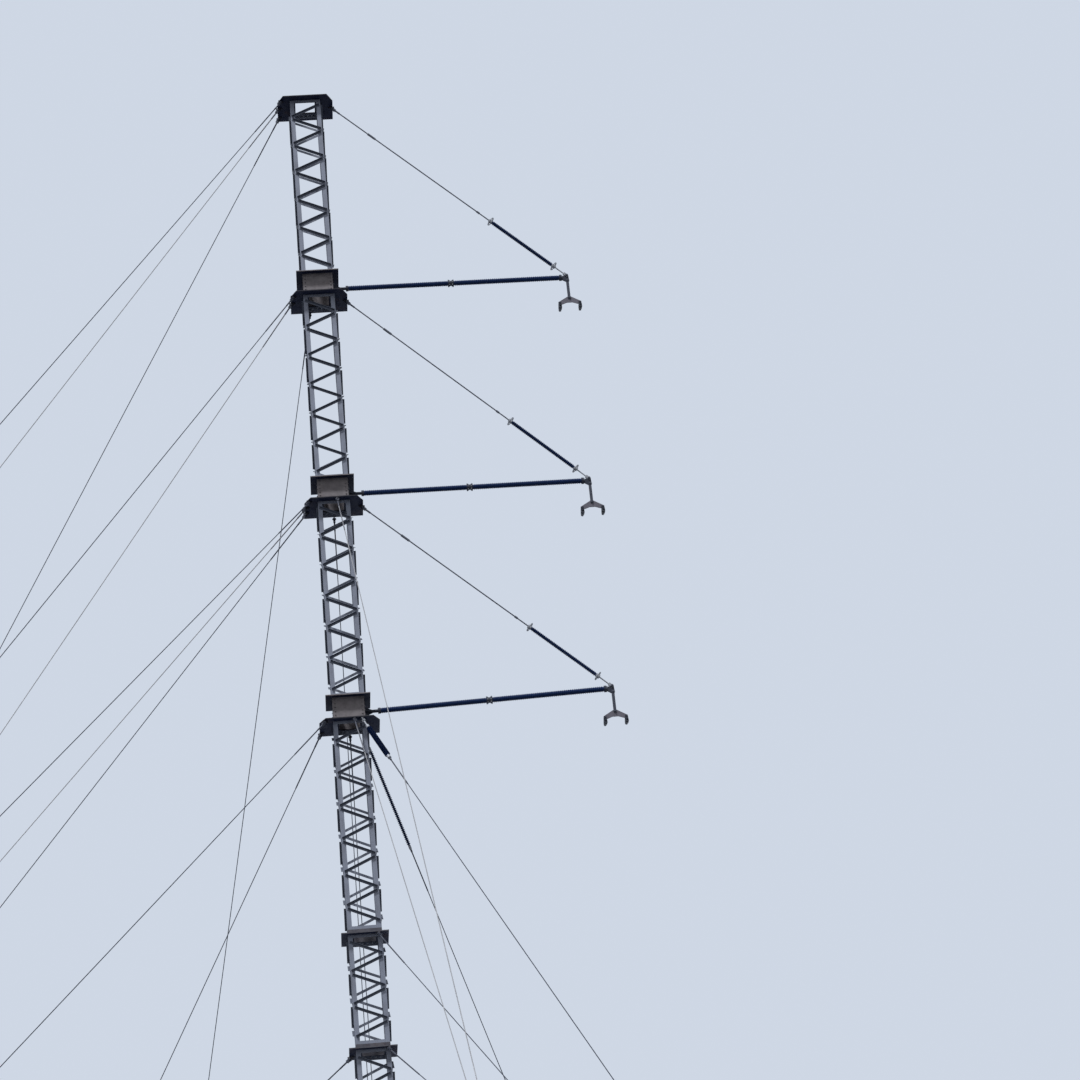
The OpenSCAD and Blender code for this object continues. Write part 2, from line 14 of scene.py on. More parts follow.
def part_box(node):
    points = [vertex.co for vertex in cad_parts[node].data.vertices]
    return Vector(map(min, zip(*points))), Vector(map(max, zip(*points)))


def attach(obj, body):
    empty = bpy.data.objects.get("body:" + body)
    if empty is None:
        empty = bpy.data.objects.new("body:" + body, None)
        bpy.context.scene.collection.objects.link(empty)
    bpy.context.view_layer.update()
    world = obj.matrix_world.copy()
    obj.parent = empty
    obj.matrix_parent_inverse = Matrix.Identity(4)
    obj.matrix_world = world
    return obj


bl_info = {
    "name": "Guyed Lattice Mast",
    "version": (1, 0, 0),
    "blender": (4, 5, 0),
    "location": "View3D > Sidebar > Mast",
    "description": "Finishes, fasteners and strand for a guyed lattice mast with insulator arms",
    "category": "Object",
}

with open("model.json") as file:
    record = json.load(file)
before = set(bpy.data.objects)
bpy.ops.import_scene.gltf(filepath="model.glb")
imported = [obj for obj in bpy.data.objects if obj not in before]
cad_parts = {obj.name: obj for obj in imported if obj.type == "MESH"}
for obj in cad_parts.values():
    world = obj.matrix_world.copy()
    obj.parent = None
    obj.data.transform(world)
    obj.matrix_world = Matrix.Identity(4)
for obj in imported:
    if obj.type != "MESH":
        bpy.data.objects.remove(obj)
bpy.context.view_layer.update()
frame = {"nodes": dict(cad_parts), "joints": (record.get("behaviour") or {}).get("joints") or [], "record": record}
NODES = frame["nodes"]
JOINTS = {joint["name"]: joint for joint in frame["joints"]}
LEVELS = ("lower", "middle", "upper")
PLATE_ABOVE = {"lower": "guy_plate_middle", "middle": "guy_plate_upper", "upper": "guy_plate_top"}
MAST = "mast"

OUTWARDS = Vector((1, 0, 0))
ALONG = Vector((0, 1, 0))
UP = Vector((0, 0, 1))
QUARTERS = [Matrix.Rotation(i*math.pi/2, 3, "Z") for i in range(4)]

# The sections that stand turned by a quarter
TURNED = ("mast_section_1", "mast_section_4")
# Bearings from the arms, in degrees, of the guys drawn in the lighter strand colour
BRIGHT_GUYS = (180, 184, 188, 278, 281)

# Places of fasteners and of changes of finish on their pieces

LACING_PROUD = 0.0006  # just outside of the legs' faces, where the lacing bars start
LACING_RIVETS = (0.016, 0.042)  # rivets from a lacing bar's end
FLANGE_BOLTS = 6  # bolts along one side of an end flange
FLANGE_INSET = 0.045  # the first of them from the corner of their ring
BOX_ROWS = 6  # bolts down each edge of a box's wall
BOX_EDGE = 0.045  # those bolts from the wall's edges
GIMBAL_BOLT_EDGE = 0.035  # a gimbal bolt from the gimbal plate's edge
ROOT_BOLT = (0.095, 0.085)  # a root plate's bolt from the post's axis, along Y and Z
COUPLING_BOLTS = 8  # bolts round a coupling
COUPLING_FLANGE = 0.020  # their seats inside the coupling's ends
COUPLING_BOLT_OUT = 0.0195  # their circle outside the post's core
END_FLANGE = 0.050  # the face of a post's end flange from its last shed stretch
END_BOLT_R = 0.048  # circle of the end flange's bolts
CLAMP_HALF = 0.045  # half of a clamp body's length
CLAMP_BOLTS = (0.060, 0.100)  # bolts above the middle of a clamp
YOKE_FACE = 0.0106  # just outside of the face of a yoke's plate
YOKE_LOW = 0.155  # from a yoke's pin down to where its clamps start


def length(label, about, default):
    return FloatProperty(name=label, description=about, default=default, unit="LENGTH", precision=4)


def number(label, about, default):
    return IntProperty(name=label, description=about, default=default, min=1)


def angle(label, about, degrees):
    return FloatProperty(name=label, description=about, default=math.radians(degrees), unit="ROTATION")


def share(label, about, default):
    return FloatProperty(name=label, description=about, default=default, min=0, max=1)


def colour(label, about, default):
    return FloatVectorProperty(name=label, description=about, default=default, subtype="COLOR",
                               min=0, max=1)


def fastener(label, *default):
    return FloatVectorProperty(name=label, description="Radius over its corners, height, and bare thread",
                               default=default, unit="LENGTH", precision=4)


class MastColumnSizes(bpy.types.PropertyGroup):
    half_w: length("Half width", "Half of the column's width over its legs", 0.330)
    leg_w: length("Leg flange", "Width of a leg angle's flange", 0.089)
    leg_t: length("Leg thickness", "Thickness of a leg angle", 0.009)
    lace_t: length("Lacing thickness", "Thickness of a lacing angle", 0.006)
    lace_end: length("First node", "Height of the first lacing node above a section's end", 0.110)
    lace_gap: length("Node gap", "Distance between the ends of two lacing bars on a leg", 0.066)
    lace_lap: length("Lap", "How far a lacing bar laps onto a leg", 0.062)
    long_bars: number("Long section bars", "Lacing bars on a long section's face", 12)
    short_bars: number("Short section bars", "Lacing bars on a short section's face", 6)
    long_from: length("Long from", "Sections longer than this are long ones", 3.0)
    frame_t: length("End flange", "Thickness of a section's end flange", 0.010)


class MastPlateSizes(bpy.types.PropertyGroup):
    plate_t: length("Plate", "Thickness of guy plates and box plates", 0.020)
    box_w: length("Box width", "Outer width of a box", 0.628)
    lug_t: length("Lug", "Thickness of a lug", 0.020)
    lug_in: length("Lug inwards", "How far a lug's weld reaches inside its pin", 0.088)
    lug_out: length("Lug outwards", "How far a lug's weld reaches outside its pin", 0.008)


class MastFootSizes(bpy.types.PropertyGroup):
    bolt_edge: length("Bolt edge", "Distance of a holding-down bolt from its plate's edge", 0.080)
    gimbal_plate_z: length("Gimbal plate", "Height of the gimbal plate's top", 0.050)
    gimbal_face: length("Gimbal cheek face", "Distance of a cheek's outer face from the axis", 0.130)
    gimbal_cheek_t: length("Gimbal cheek", "Thickness of a gimbal cheek", 0.030)
    gimbal_cheek_w: length("Gimbal cheek width", "Width of a gimbal cheek", 0.140)
    anchor_w: length("Anchor", "Width of a ground anchor's plate", 0.600)
    anchor_t: length("Anchor plate", "Thickness of a ground anchor's plate", 0.020)
    anchor_lug_w: length("Anchor lug", "Width of an anchor's lug at its foot", 0.220)


class MastArmSizes(bpy.types.PropertyGroup):
    root_x: length("Post root", "Distance of a post's root from the mast's axis", 0.326)
    root_z: length("Post root height", "Height of a post's root above its guy plate's underside", 0.275)
    neck_r: length("Neck", "Radius of a post's neck", 0.032)
    rib_half: length("Rib", "Half of a bracket rib's width at the root", 0.100)
    rib_t: length("Rib thickness", "Thickness of a bracket rib", 0.012)
    bracket_l: length("Bracket", "Length of the bracket between a box and its post", 0.315)
    coupling_x: length("Coupling", "Distance of a post's coupling from the mast's axis", 2.827)
    coupling_l: length("Coupling length", "Length of a post's coupling", 0.120)
    post_end: length("Post end", "Distance of a post's last shed stretch from the end node", 0.150)
    post_drop: length("Post above link pin", "Height of a post's axis above its link's pin", 0.075)
    node_back: length("Node inside link pin", "Distance of the end node inside the link's pin", 0.020)
    post_pitch: length("Post sheds", "Distance between a post's main sheds", 0.042)
    post_r: length("Post shed radius", "Radius over a post's main sheds", 0.062)
    post_core_r: length("Post core", "Radius of a post between its sheds", 0.049)
    stay_pitch: length("Stay sheds", "Distance between a stay insulator's main sheds", 0.040)
    stay_r: length("Stay shed radius", "Radius over a stay insulator's main sheds", 0.045)
    stay_core_r: length("Stay core", "Radius of a stay insulator between its sheds", 0.032)
    stay_pin_x: length("Stay pin outwards", "Distance of a stay's lower pin outside the end node", 0.010)
    stay_pin_z: length("Stay pin upwards", "Height of a stay's lower pin over the end node", 0.050)
    stay_top_x: length("Stay top pin", "Distance of a stay's upper pin from the axis", 0.592)
    stay_tail_l: length("Stay tail", "Length from the lower pin to the stay insulator", 0.310)
    stay_insulator_l: length("Stay insulator", "Length of a stay insulator", 1.800)
    stay_turnbuckle: length("Stay turnbuckle", "Distance of a stay's turnbuckle from its upper pin", 1.010)
    stay_turnbuckle_l: length("Stay turnbuckle length", "Length of a stay's turnbuckle", 0.190)
    fitting_l: length("End fitting", "Length of an insulator's end fitting", 0.080)
    link_face: length("Link face", "Distance of a link's outer face from its middle", 0.0235)
    clamp_gap: length("Clamps", "Distance between the clamps of a yoke", 0.430)
    clamp_drop: length("Clamp drop", "Drop from a yoke's pin to its clamps", 0.230)


class MastFastenerSizes(bpy.types.PropertyGroup):
    rivet_r: length("Rivet radius", "Radius of a lacing rivet's head", 0.0085)
    rivet_h: length("Rivet height", "Height of a lacing rivet's head", 0.006)
    washer_t: length("Washer", "Thickness of a washer", 0.003)
    bead_r: length("Weld bead", "Radius of a weld bead", 0.006)
    splice_bolt: fastener("Splice bolt", 0.018, 0.013, 0.008)
    small_bolt: fastener("Arm and yoke bolt", 0.0105, 0.009, 0.006)
    box_bolt: fastener("Box bolt", 0.013, 0.010, 0.005)
    pin_nut: fastener("Pin nut", 0.021, 0.011, 0.004)
    turnbuckle_nut: fastener("Turnbuckle nut", 0.022, 0.016, 0.001)
    stay_nut: fastener("Stay turnbuckle nut", 0.021, 0.014, 0.001)
    holding_bolt: fastener("Holding-down bolt", 0.026, 0.022, 0.020)
    gimbal_nut: fastener("Gimbal nut", 0.045, 0.022, 0.004)


class MastGuySizes(bpy.types.PropertyGroup):
    wire_r: length("Wire radius", "Radius of a guy's strand", 0.0086)
    lay: length("Lay", "Length of one turn of the strand", 0.190)
    grip_r: length("Grip radius", "Radius over the wrapped grip at a guy's ends", 0.0135)
    grip_groove: length("Grip groove", "Depth of the grooves between a grip's wires", 0.0015)
    grip_l: length("Grip length", "Length of the wrapped grip at a guy's ends", 0.900)
    pin_back: length("Pin inset", "Distance of a fork's pin inside its end", 0.028)
    pin_drop: length("Pin drop", "Drop of a guy's pin below its plate", 0.050)
    cheek_face: length("Fork cheek", "Distance of a fork's outer face from its middle", 0.0223)
    socket_l: length("Socket", "Length of the socket under a guy's insulator", 0.070)
    front_insulator_l: length("Front insulator", "Length of the front right guy's insulator", 1.250)
    front_insulator_r: length("Front insulator radius", "Radius over its sheds", 0.056)
    back_insulator_l: length("Back insulator", "Length of the back right guy's insulator", 2.300)
    back_insulator_r: length("Back insulator radius", "Radius over its sheds", 0.040)
    fork_l: length("Plate fork", "Length of the fork at the plate end", 0.260)
    foot_fork_l: length("Anchor fork", "Length of the fork at the anchor end", 0.345)
    turnbuckle_l: length("Turnbuckle", "Length of a guy's turnbuckle", 0.420)


class MastColours(bpy.types.PropertyGroup):
    column: colour("Column", "Weathered aluminium of the legs", (0.215, 0.240, 0.308))
    # Painted shade: the lacing bars are the legs' aluminium, and this darker colour stands in for the shadow of
    # their own flanges. It is also the painted shade on the column's undersides.
    lacing: colour("Lacing", "Duller aluminium of the lacing bars", (0.070, 0.082, 0.115))
    column_stain: colour("Column stain", "Grime on the column", (0.10, 0.105, 0.13))
    plate: colour("Plate", "Upper faces and edges of the plates", (0.047, 0.047, 0.056))
    joint_plate: colour("Joint plate", "Faces and edges of the joint plates", (0.115, 0.115, 0.135))
    # Painted shade: plates and boxes take this dark colour on faces that look down, in place of the shade under
    # them. It is also the real stain colour of the plates' blotches and streaks.
    plate_under: colour("Plate underside", "Stained undersides", (0.010, 0.0140, 0.036))
    box: colour("Box", "Walls of the boxes", (0.218, 0.206, 0.224))
    box_stain: colour("Box stain", "Grime on the boxes", (0.075, 0.073, 0.086))
    rust: colour("Rust", "Rust stains on the plates", (0.060, 0.030, 0.028))
    dust: colour("Dust", "Dust on faces that look up", (0.16, 0.15, 0.14))
    insulator: colour("Insulator", "Dark skin of the insulators", (0.005, 0.020, 0.080))
    insulator_dust: colour("Insulator dust", "Dust on the insulators", (0.07, 0.085, 0.13))
    fitting: colour("Fitting", "Galvanised fittings", (0.30, 0.32, 0.36))
    rod: colour("Stay rod", "Weathered rods of the stays", (0.085, 0.095, 0.125))
    dark_fitting: colour("Dark fitting", "Weathered forgings", (0.040, 0.046, 0.068))
    clamp: colour("Clamp", "Dark clamps of the yokes", (0.018, 0.022, 0.034))
    yoke: colour("Yoke", "Plates of the yokes", (0.13, 0.125, 0.155))
    strand: colour("Strand", "Weathered guy strand", (0.030, 0.038, 0.060))
    bright_strand: colour("Bright strand", "Newer, lighter guy strand", (0.36, 0.37, 0.40))
    foot: colour("Foot", "Galvanised plates on the ground", (0.30, 0.31, 0.32))
    backdrop: colour("Backdrop", "Pale colour behind the mast", (0.62, 0.68, 0.78))
    floor: colour("Floor", "Pale floor, which the sun brings up to the backdrop", (0.38, 0.415, 0.475))


class MastStageSettings(bpy.types.PropertyGroup):
    eye: FloatVectorProperty(name="Eye", description="Place of the camera", unit="LENGTH",
                             default=(-1.144, -54.716, 2.063))
    yaw: angle("Yaw", "Turn of the camera towards the arms", 5.548)
    pitch: angle("Pitch", "Upward tilt of the camera", 23.199)
    roll: angle("Roll", "Turn of the camera about its view", -5.850)
    lens: FloatProperty(name="Lens", description="Focal length on a 36 mm wide frame", default=96.92)
    sun_height: angle("Sun height", "Angle of the main lamp above the floor", 62)
    sun_turn: angle("Sun turn", "Turn of the main lamp from behind the camera", -35)
    sun_softness: angle("Sun softness", "Angular size of the main lamp", 6)
    sun_strength: FloatProperty(name="Sun strength", description="Strength of the main lamp", default=3.2)
    sky_strength: share("Sky", "Strength of the light from above", 0.65)
    ground_strength: share("Ground", "Strength of the light from below", 0.08)
    floor_w: length("Floor", "Width of the floor", 900)


def sizes(group):
    return getattr(bpy.context.scene, group)


def link_object(name, mesh):
    made = bpy.data.objects.new(name, mesh)
    bpy.context.scene.collection.objects.link(made)
    return made


def opaque(tint):
    return (*tint, 1.0)


class Tree:
    """Adds nodes to a node tree and joins them."""

    def __init__(self, tree):
        self.tree = tree

    def add(self, kind, inputs=None, **settings):
        made = self.tree.nodes.new(kind)
        for name, value in settings.items():
            setattr(made, name, value)
        for key, value in (inputs or {}).items():
            self.feed(value, made.inputs[key])
        return made

    def feed(self, value, socket):
        if isinstance(value, bpy.types.NodeSocket):
            self.tree.links.new(value, socket)
        else:
            socket.default_value = value

    def put(self, out, **values):
        for label, value in values.items():
            self.feed(value, out[label])

    def group(self, name, **inputs):
        made = self.add("ShaderNodeGroup", node_tree=bpy.data.node_groups[name])
        self.put(made.inputs, **inputs)
        return made.outputs

    def maths(self, operation, *values, clamp=False):
        made = self.add("ShaderNodeMath", operation=operation, use_clamp=clamp)
        for value, socket in zip(values, made.inputs):
            self.feed(value, socket)
        return made.outputs[0]

    def times(self, first, second, clamp=False):
        return self.maths("MULTIPLY", first, second, clamp=clamp)

    def blend(self, mask, first, second):
        """The first number off a mask, and the second on it."""
        return self.maths("ADD", self.times(first, self.maths("SUBTRACT", 1.0, mask)),
                          self.times(second, mask))

    def between(self, value, low, high, to_low=0.0, to_high=1.0):
        return self.add("ShaderNodeMapRange", {
            "Value": value, "From Min": low, "From Max": high, "To Min": to_low, "To Max": to_high,
        }).outputs[0]

    def mixed(self, factor, first, second, blend="MIX"):
        return self.add("ShaderNodeMix", {0: factor, 6: first, 7: second}, data_type="RGBA",
                        blend_type=blend).outputs[2]

    def grey(self, value):
        return self.add("ShaderNodeCombineColor", {"Red": value, "Green": value, "Blue": value}).outputs[0]

    def lit(self, tint, value, amount):
        """A colour made lighter or darker by how far a value is from a half."""
        light = self.maths("MULTIPLY_ADD", self.maths("SUBTRACT", value, 0.5), amount, 1.0)
        return self.mixed(1.0, tint, self.grey(light), "MULTIPLY")

    def noise(self, vector, scale, detail, roughness):
        return self.add("ShaderNodeTexNoise", {
            "Vector": vector, "Scale": scale, "Detail": detail, "Roughness": roughness}).outputs[0]

    def where(self):
        return self.add("ShaderNodeTexCoord").outputs["Object"]

    def split(self, vector):
        return self.add("ShaderNodeSeparateXYZ", {"Vector": vector}).outputs

    def upward(self):
        """How far a face looks up."""
        return self.split(self.add("ShaderNodeNewGeometry").outputs["True Normal"])["Z"]


class Surface(Tree):
    """The tree of a new material, round its Principled shader."""

    def __init__(self, name, metallic, specular=0.5):
        made = bpy.data.materials.new(name)
        made.use_nodes = True
        super().__init__(made.node_tree)
        self.shader = made.node_tree.nodes["Principled BSDF"].inputs
        self.shader["Metallic"].default_value = metallic
        self.shader["Specular IOR Level"].default_value = specular

    def weather(self, clean, stain, **amounts):
        """The Weather group over a colour; a number as the stain is a share of that colour."""
        if isinstance(stain, float):
            stain = tuple(stain*c for c in clean)
        return self.group("Weather", Clean=opaque(clean), Stain=opaque(stain), **amounts)

    def end(self, tint, rough, height, strength, distance):
        """Feeds the shader its colour, roughness and bumps."""
        bump = self.add("ShaderNodeBump", {"Height": height, "Strength": strength, "Distance": distance})
        self.put(self.shader, **{"Base Color": tint, "Roughness": rough, "Normal": bump.outputs[0]})


def new_group(name, kind, inputs, outputs):
    """A node group with named sockets: its tree, and the sockets of its inputs and outputs."""
    group = bpy.data.node_groups.new(name, kind)
    for label, socket, default in inputs:
        made = group.interface.new_socket(label, in_out="INPUT", socket_type=socket)
        if default is not None:
            made.default_value = default
    for label, socket in outputs:
        group.interface.new_socket(label, in_out="OUTPUT", socket_type=socket)
    tree = Tree(group)
    return tree, tree.add("NodeGroupInput").outputs, tree.add("NodeGroupOutput").inputs


def socket_kind(default):
    if isinstance(default, tuple):
        return "NodeSocketColor" if len(default) == 4 else "NodeSocketVector"
    return "NodeSocketInt" if isinstance(default, int) else "NodeSocketFloat"


def shader_group(name, outputs, **inputs):
    """A shader group from its inputs' defaults; its outputs are numbers, but for Color."""
    return new_group(name, "ShaderNodeTree", [(k, socket_kind(v), v) for k, v in inputs.items()],
                     [(k, "NodeSocketColor" if k == "Color" else "NodeSocketFloat") for k in outputs])


def growing_group(name, **inputs):
    """A Geometry Nodes group that grows shapes of one material on points or edges.

    Its geometry comes first, because that is the input a modifier feeds its mesh to.
    """
    rows = [("Geometry", "NodeSocketGeometry", None), ("Material", "NodeSocketMaterial", None)]
    rows += [(k, socket_kind(v), v) for k, v in inputs.items()]
    return new_group(name, "GeometryNodeTree", rows, [("Geometry", "NodeSocketGeometry")])


# Shader groups that several finishes share

GREY = (0.4, 0.4, 0.4, 1.0)


def weather_group():
    """Blotches, streaks that run down, and fine grain over a clean colour."""
    tree, given, out = shader_group("Weather", ("Color", "Grime", "Height"), Clean=GREY, Stain=GREY,
                                    Size=0.4, Blotches=0.4, Streaks=0.0, Grain=0.12)
    where = tree.where()
    scale = tree.maths("DIVIDE", 1.0, given["Size"])
    blotch = tree.between(tree.noise(where, scale, 6.0, 0.62), 0.42, 0.72)
    drawn = tree.add("ShaderNodeMapping", {"Vector": where, "Scale": (26.0, 26.0, 1.3)}).outputs[0]
    streak = tree.between(tree.noise(drawn, 1.0, 4.0, 0.6), 0.48, 0.78)
    grain = tree.noise(where, 190.0, 3.0, 0.7)
    grime = tree.maths("ADD", tree.times(blotch, given["Blotches"]),
                       tree.times(streak, given["Streaks"]), clamp=True)
    stained = tree.mixed(grime, given["Clean"], given["Stain"])
    tree.put(out, Color=tree.lit(stained, grain, given["Grain"]), Grime=grime,
             Height=tree.maths("MULTIPLY_ADD", grain, 0.4, blotch))


def underside_group():
    """A mask that is 1 on faces that look down, where shade is painted."""
    tree, given, out = shader_group("Underside", ("Mask",), Start=-0.3, Full=-0.8)
    tree.put(out, Mask=tree.between(tree.upward(), given["Start"], given["Full"]))


def dust_group():
    """Dust that settles on faces that look up."""
    tree, given, out = shader_group("Dust", ("Color", "Mask"), Color=GREY, Dust=GREY, Amount=0.3)
    facing = tree.between(tree.upward(), 0.2, 0.95)
    patch = tree.between(tree.noise(tree.where(), 9.0, 5.0, 0.6), 0.35, 0.7)
    mask = tree.times(tree.times(facing, patch), given["Amount"], clamp=True)
    tree.put(out, Color=tree.mixed(mask, given["Color"], given["Dust"]), Mask=mask)


def spangle_group():
    """The crystal pattern of hot-dip galvanising."""
    tree, given, out = shader_group("Spangle", ("Color", "Value"), Color=GREY, Size=0.012, Amount=0.25)
    scale = tree.maths("DIVIDE", 1.0, given["Size"])
    cell = tree.add("ShaderNodeTexVoronoi", {"Vector": tree.where(), "Scale": scale}).outputs["Color"]
    value = tree.add("ShaderNodeSeparateColor", {"Color": cell}).outputs[0]
    tree.put(out, Color=tree.lit(given["Color"], value, given["Amount"]), Value=value)


def strand_group():
    """Wires laid round a strand, from a UV map with its turns in U and its length in V."""
    tree, given, out = shader_group("Strand", ("Height", "Groove"), Wires=6.0, Lay=0.19)
    uv = tree.split(tree.add("ShaderNodeUVMap").outputs[0])
    turns = tree.maths("ADD", uv["X"], tree.maths("DIVIDE", uv["Y"], given["Lay"]))
    phase = tree.maths("FRACT", tree.times(turns, given["Wires"]))
    side = tree.maths("ABSOLUTE", tree.maths("MULTIPLY_ADD", phase, 2.0, -1.0))
    tree.put(out, Height=tree.maths("SUBTRACT", 1.0, tree.times(side, side)),
             Groove=tree.maths("POWER", side, 4.0))


def stretch_group():
    """A mask that is 1 outside of one stretch along an axis."""
    tree, given, out = shader_group("Off Stretch", ("Mask",), Origin=(0, 0, 0), Direction=(0, 0, 1),
                                    From=0.0, To=1.0)
    offset = tree.add("ShaderNodeVectorMath", {0: tree.where(), 1: given["Origin"]}, operation="SUBTRACT")
    along = tree.add("ShaderNodeVectorMath", {0: offset.outputs[0], 1: given["Direction"]},
                     operation="DOT_PRODUCT").outputs["Value"]
    tree.put(out, Mask=tree.maths("MAXIMUM", tree.maths("LESS_THAN", along, given["From"]),
                                  tree.maths("GREATER_THAN", along, given["To"])))


def rust_group():
    """Small rust stains over a colour."""
    tree, given, out = shader_group("Rust", ("Color",), Color=GREY, Rust=GREY, Amount=0.5)
    where = tree.where()
    broad = tree.between(tree.noise(where, 3.1, 5.0, 0.65), 0.52, 0.66)
    fine = tree.between(tree.noise(where, 41.0, 4.0, 0.6), 0.40, 0.62)
    mask = tree.times(tree.times(broad, fine), given["Amount"], clamp=True)
    tree.put(out, Color=tree.mixed(mask, given["Color"], given["Rust"]))


# Finishes

def column_finish():
    """Dull aluminium, with painted shade on the lacing bars, which stand outside the legs, and on faces that look
    down.
    """
    c = sizes("mast_colours")
    tree = Surface("column_finish", 0.15, 0.4)
    x, y, _ = tree.split(tree.where())
    reach = tree.maths("MAXIMUM", tree.maths("ABSOLUTE", x), tree.maths("ABSOLUTE", y))
    outside = tree.maths("GREATER_THAN", reach, sizes("mast_column").half_w + LACING_PROUD)
    # Painted shade: the lacing bars, outside the legs, take the darker lacing colour in place of their flanges'
    # shadow.
    weather = tree.group("Weather", Clean=tree.mixed(outside, opaque(c.column), opaque(c.lacing)),
                         Stain=opaque(c.column_stain), Blotches=0.45, Streaks=0.35, Grain=0.14)
    # Painted shade on faces that look down, in the lacing colour.
    shaded = tree.mixed(tree.group("Underside")["Mask"], weather["Color"], opaque(c.lacing))
    tree.end(shaded, tree.between(weather["Grime"], 0.0, 1.0, 0.48, 0.78), weather["Height"], 0.35, 0.001)


def plate_finish(name, top, stain, streaks, rust):
    """Stained plate with a little rust, and painted shade on its undersides."""
    c = sizes("mast_colours")
    tree = Surface(name, 0.0, 0.1)
    weather = tree.weather(top, stain, Size=0.16, Blotches=0.5, Streaks=streaks, Grain=0.25)
    # Painted shade: faces that look down take the dark underside colour.
    dark = tree.mixed(tree.group("Underside")["Mask"], weather["Color"], opaque(c.plate_under))
    stained = tree.group("Rust", Color=dark, Rust=opaque(c.rust), Amount=rust)["Color"]
    dusty = tree.group("Dust", Color=stained, Dust=opaque(c.dust), Amount=0.5)["Color"]
    tree.end(dusty, tree.between(weather["Grime"], 0.0, 1.0, 0.62, 0.9), weather["Height"], 0.35, 0.001)


def galvanised(tree, clean, spangle):
    """Colour, roughness and height of galvanised steel."""
    weather = tree.weather(clean, 0.45, Size=0.12, Blotches=0.35, Streaks=0.15, Grain=0.10)
    crystals = tree.group("Spangle", Color=weather["Color"], Amount=spangle)
    return crystals["Color"], tree.between(crystals["Value"], 0.0, 1.0, 0.38, 0.56), weather["Height"]


def galvanised_finish(name, clean, metallic, spangle):
    tree = Surface(name, metallic)
    tree.end(*galvanised(tree, clean, spangle), 0.2, 0.0006)


def insulator_finish(name, metal=None, fitting=None, shine=0.3):
    """Insulator skin; metal builds the mask of the metal ends, which take the fitting's colour."""
    c = sizes("mast_colours")
    tree = Surface(name, 0.0, 0.14)
    weather = tree.weather(c.insulator, 0.5, Size=0.25, Blotches=0.4, Grain=0.2)
    dusty = tree.group("Dust", Color=weather["Color"], Dust=opaque(c.insulator_dust), Amount=0.45)
    tint, rough = dusty["Color"], tree.between(dusty["Mask"], 0.0, 0.5, 0.42, 0.75)
    if metal is not None:
        mask = metal(tree)
        bare, smooth, _ = galvanised(tree, fitting, 0.3)
        tint, rough = tree.mixed(mask, tint, bare), tree.blend(mask, rough, smooth)
        tree.put(tree.shader, Metallic=tree.times(mask, shine))
    tree.end(tint, rough, weather["Height"], 0.15, 0.0005)


def off_stretches(tree, start, direction, stretches):
    """1 where a point is in none of the one or two stretches along an axis."""
    masks = [tree.group("Off Stretch", Origin=start, Direction=direction, From=low, To=high)["Mask"]
             for low, high in stretches]
    return masks[0] if len(masks) == 1 else tree.maths("MINIMUM", *masks)


def strand_finish(name, clean, metallic):
    """Laid wires, with painted shade in the grooves between them."""
    tree = Surface(name, metallic, 0.3)
    weather = tree.weather(clean, 0.4, Size=0.8, Blotches=0.5, Grain=0.15)
    wires = tree.group("Strand", Lay=sizes("mast_guys").lay)
    # Painted shade: the grooves between the wires are darkened to a quarter of the strand's colour.
    tint = tree.mixed(wires["Groove"], weather["Color"], opaque(tuple(0.25*c for c in clean)))
    tree.end(tint, tree.between(wires["Groove"], 0.0, 1.0, 0.45, 0.9), wires["Height"], 0.8, 0.002)


def rod_finish(name, clean, metallic):
    """Round rods and wrapped grips, weathered along their length."""
    tree = Surface(name, metallic, 0.25)
    weather = tree.weather(clean, 0.4, Size=0.3, Blotches=0.6, Grain=0.25)
    tree.end(weather["Color"], tree.between(weather["Grime"], 0.0, 1.0, 0.42, 0.75), weather["Height"],
             0.3, 0.0005)


def yoke_finish(name, pin_z):
    """Grey plate between dark clamps, which stand proud of the plate on both sides."""
    c = sizes("mast_colours")
    tree = Surface(name, 0.2, 0.35)
    _, y, z = tree.split(tree.where())
    proud = tree.maths("GREATER_THAN", tree.maths("ABSOLUTE", y), YOKE_FACE)
    low = tree.maths("LESS_THAN", z, pin_z - YOKE_LOW)
    tint, rough, height = galvanised(tree, c.yoke, 0.25)
    tree.end(tree.mixed(tree.maths("MAXIMUM", proud, low), tint, opaque(c.clamp)), rough, height,
             0.2, 0.0006)


def make_finishes():
    """Every finish that more than one piece asks for."""
    for build in (weather_group, underside_group, dust_group, spangle_group, strand_group,
                  stretch_group, rust_group):
        build()
    c = sizes("mast_colours")
    column_finish()
    plate_finish("plate_finish", c.plate, c.plate_under, 0.2, 0.6)
    plate_finish("joint_plate_finish", c.joint_plate, c.plate_under, 0.2, 0.6)
    plate_finish("box_finish", c.box, c.box_stain, 0.15, 0.35)
    rod_finish("stay_rod_finish", c.rod, 0.2)
    rod_finish("grip_finish", c.strand, 0.1)
    rod_finish("bright_grip_finish", c.bright_strand, 0.3)
    galvanised_finish("fitting_finish", c.fitting, 0.4, 0.3)
    galvanised_finish("dark_fitting_finish", c.dark_fitting, 0.2, 0.3)
    galvanised_finish("foot_finish", c.foot, 0.4, 0.4)
    insulator_finish("insulator_finish")
    strand_finish("strand_finish", c.strand, 0.1)
    strand_finish("bright_strand_finish", c.bright_strand, 0.3)


def finish(name):
    return bpy.data.materials[name]


def dress(node, name):
    """Gives a CAD node its finish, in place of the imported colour."""
    slots = NODES[node].data.materials
    slots.clear()
    slots.append(finish(name))


# Geometry Nodes trees

def finished(tree, geometry, given, out):
    """Ends a tree with real geometry of its material."""
    solid = tree.add("GeometryNodeRealizeInstances", {"Geometry": geometry}).outputs[0]
    ended = tree.add("GeometryNodeSetMaterial", {"Geometry": solid, "Material": given["Material"]})
    tree.put(out, Geometry=ended.outputs[0])


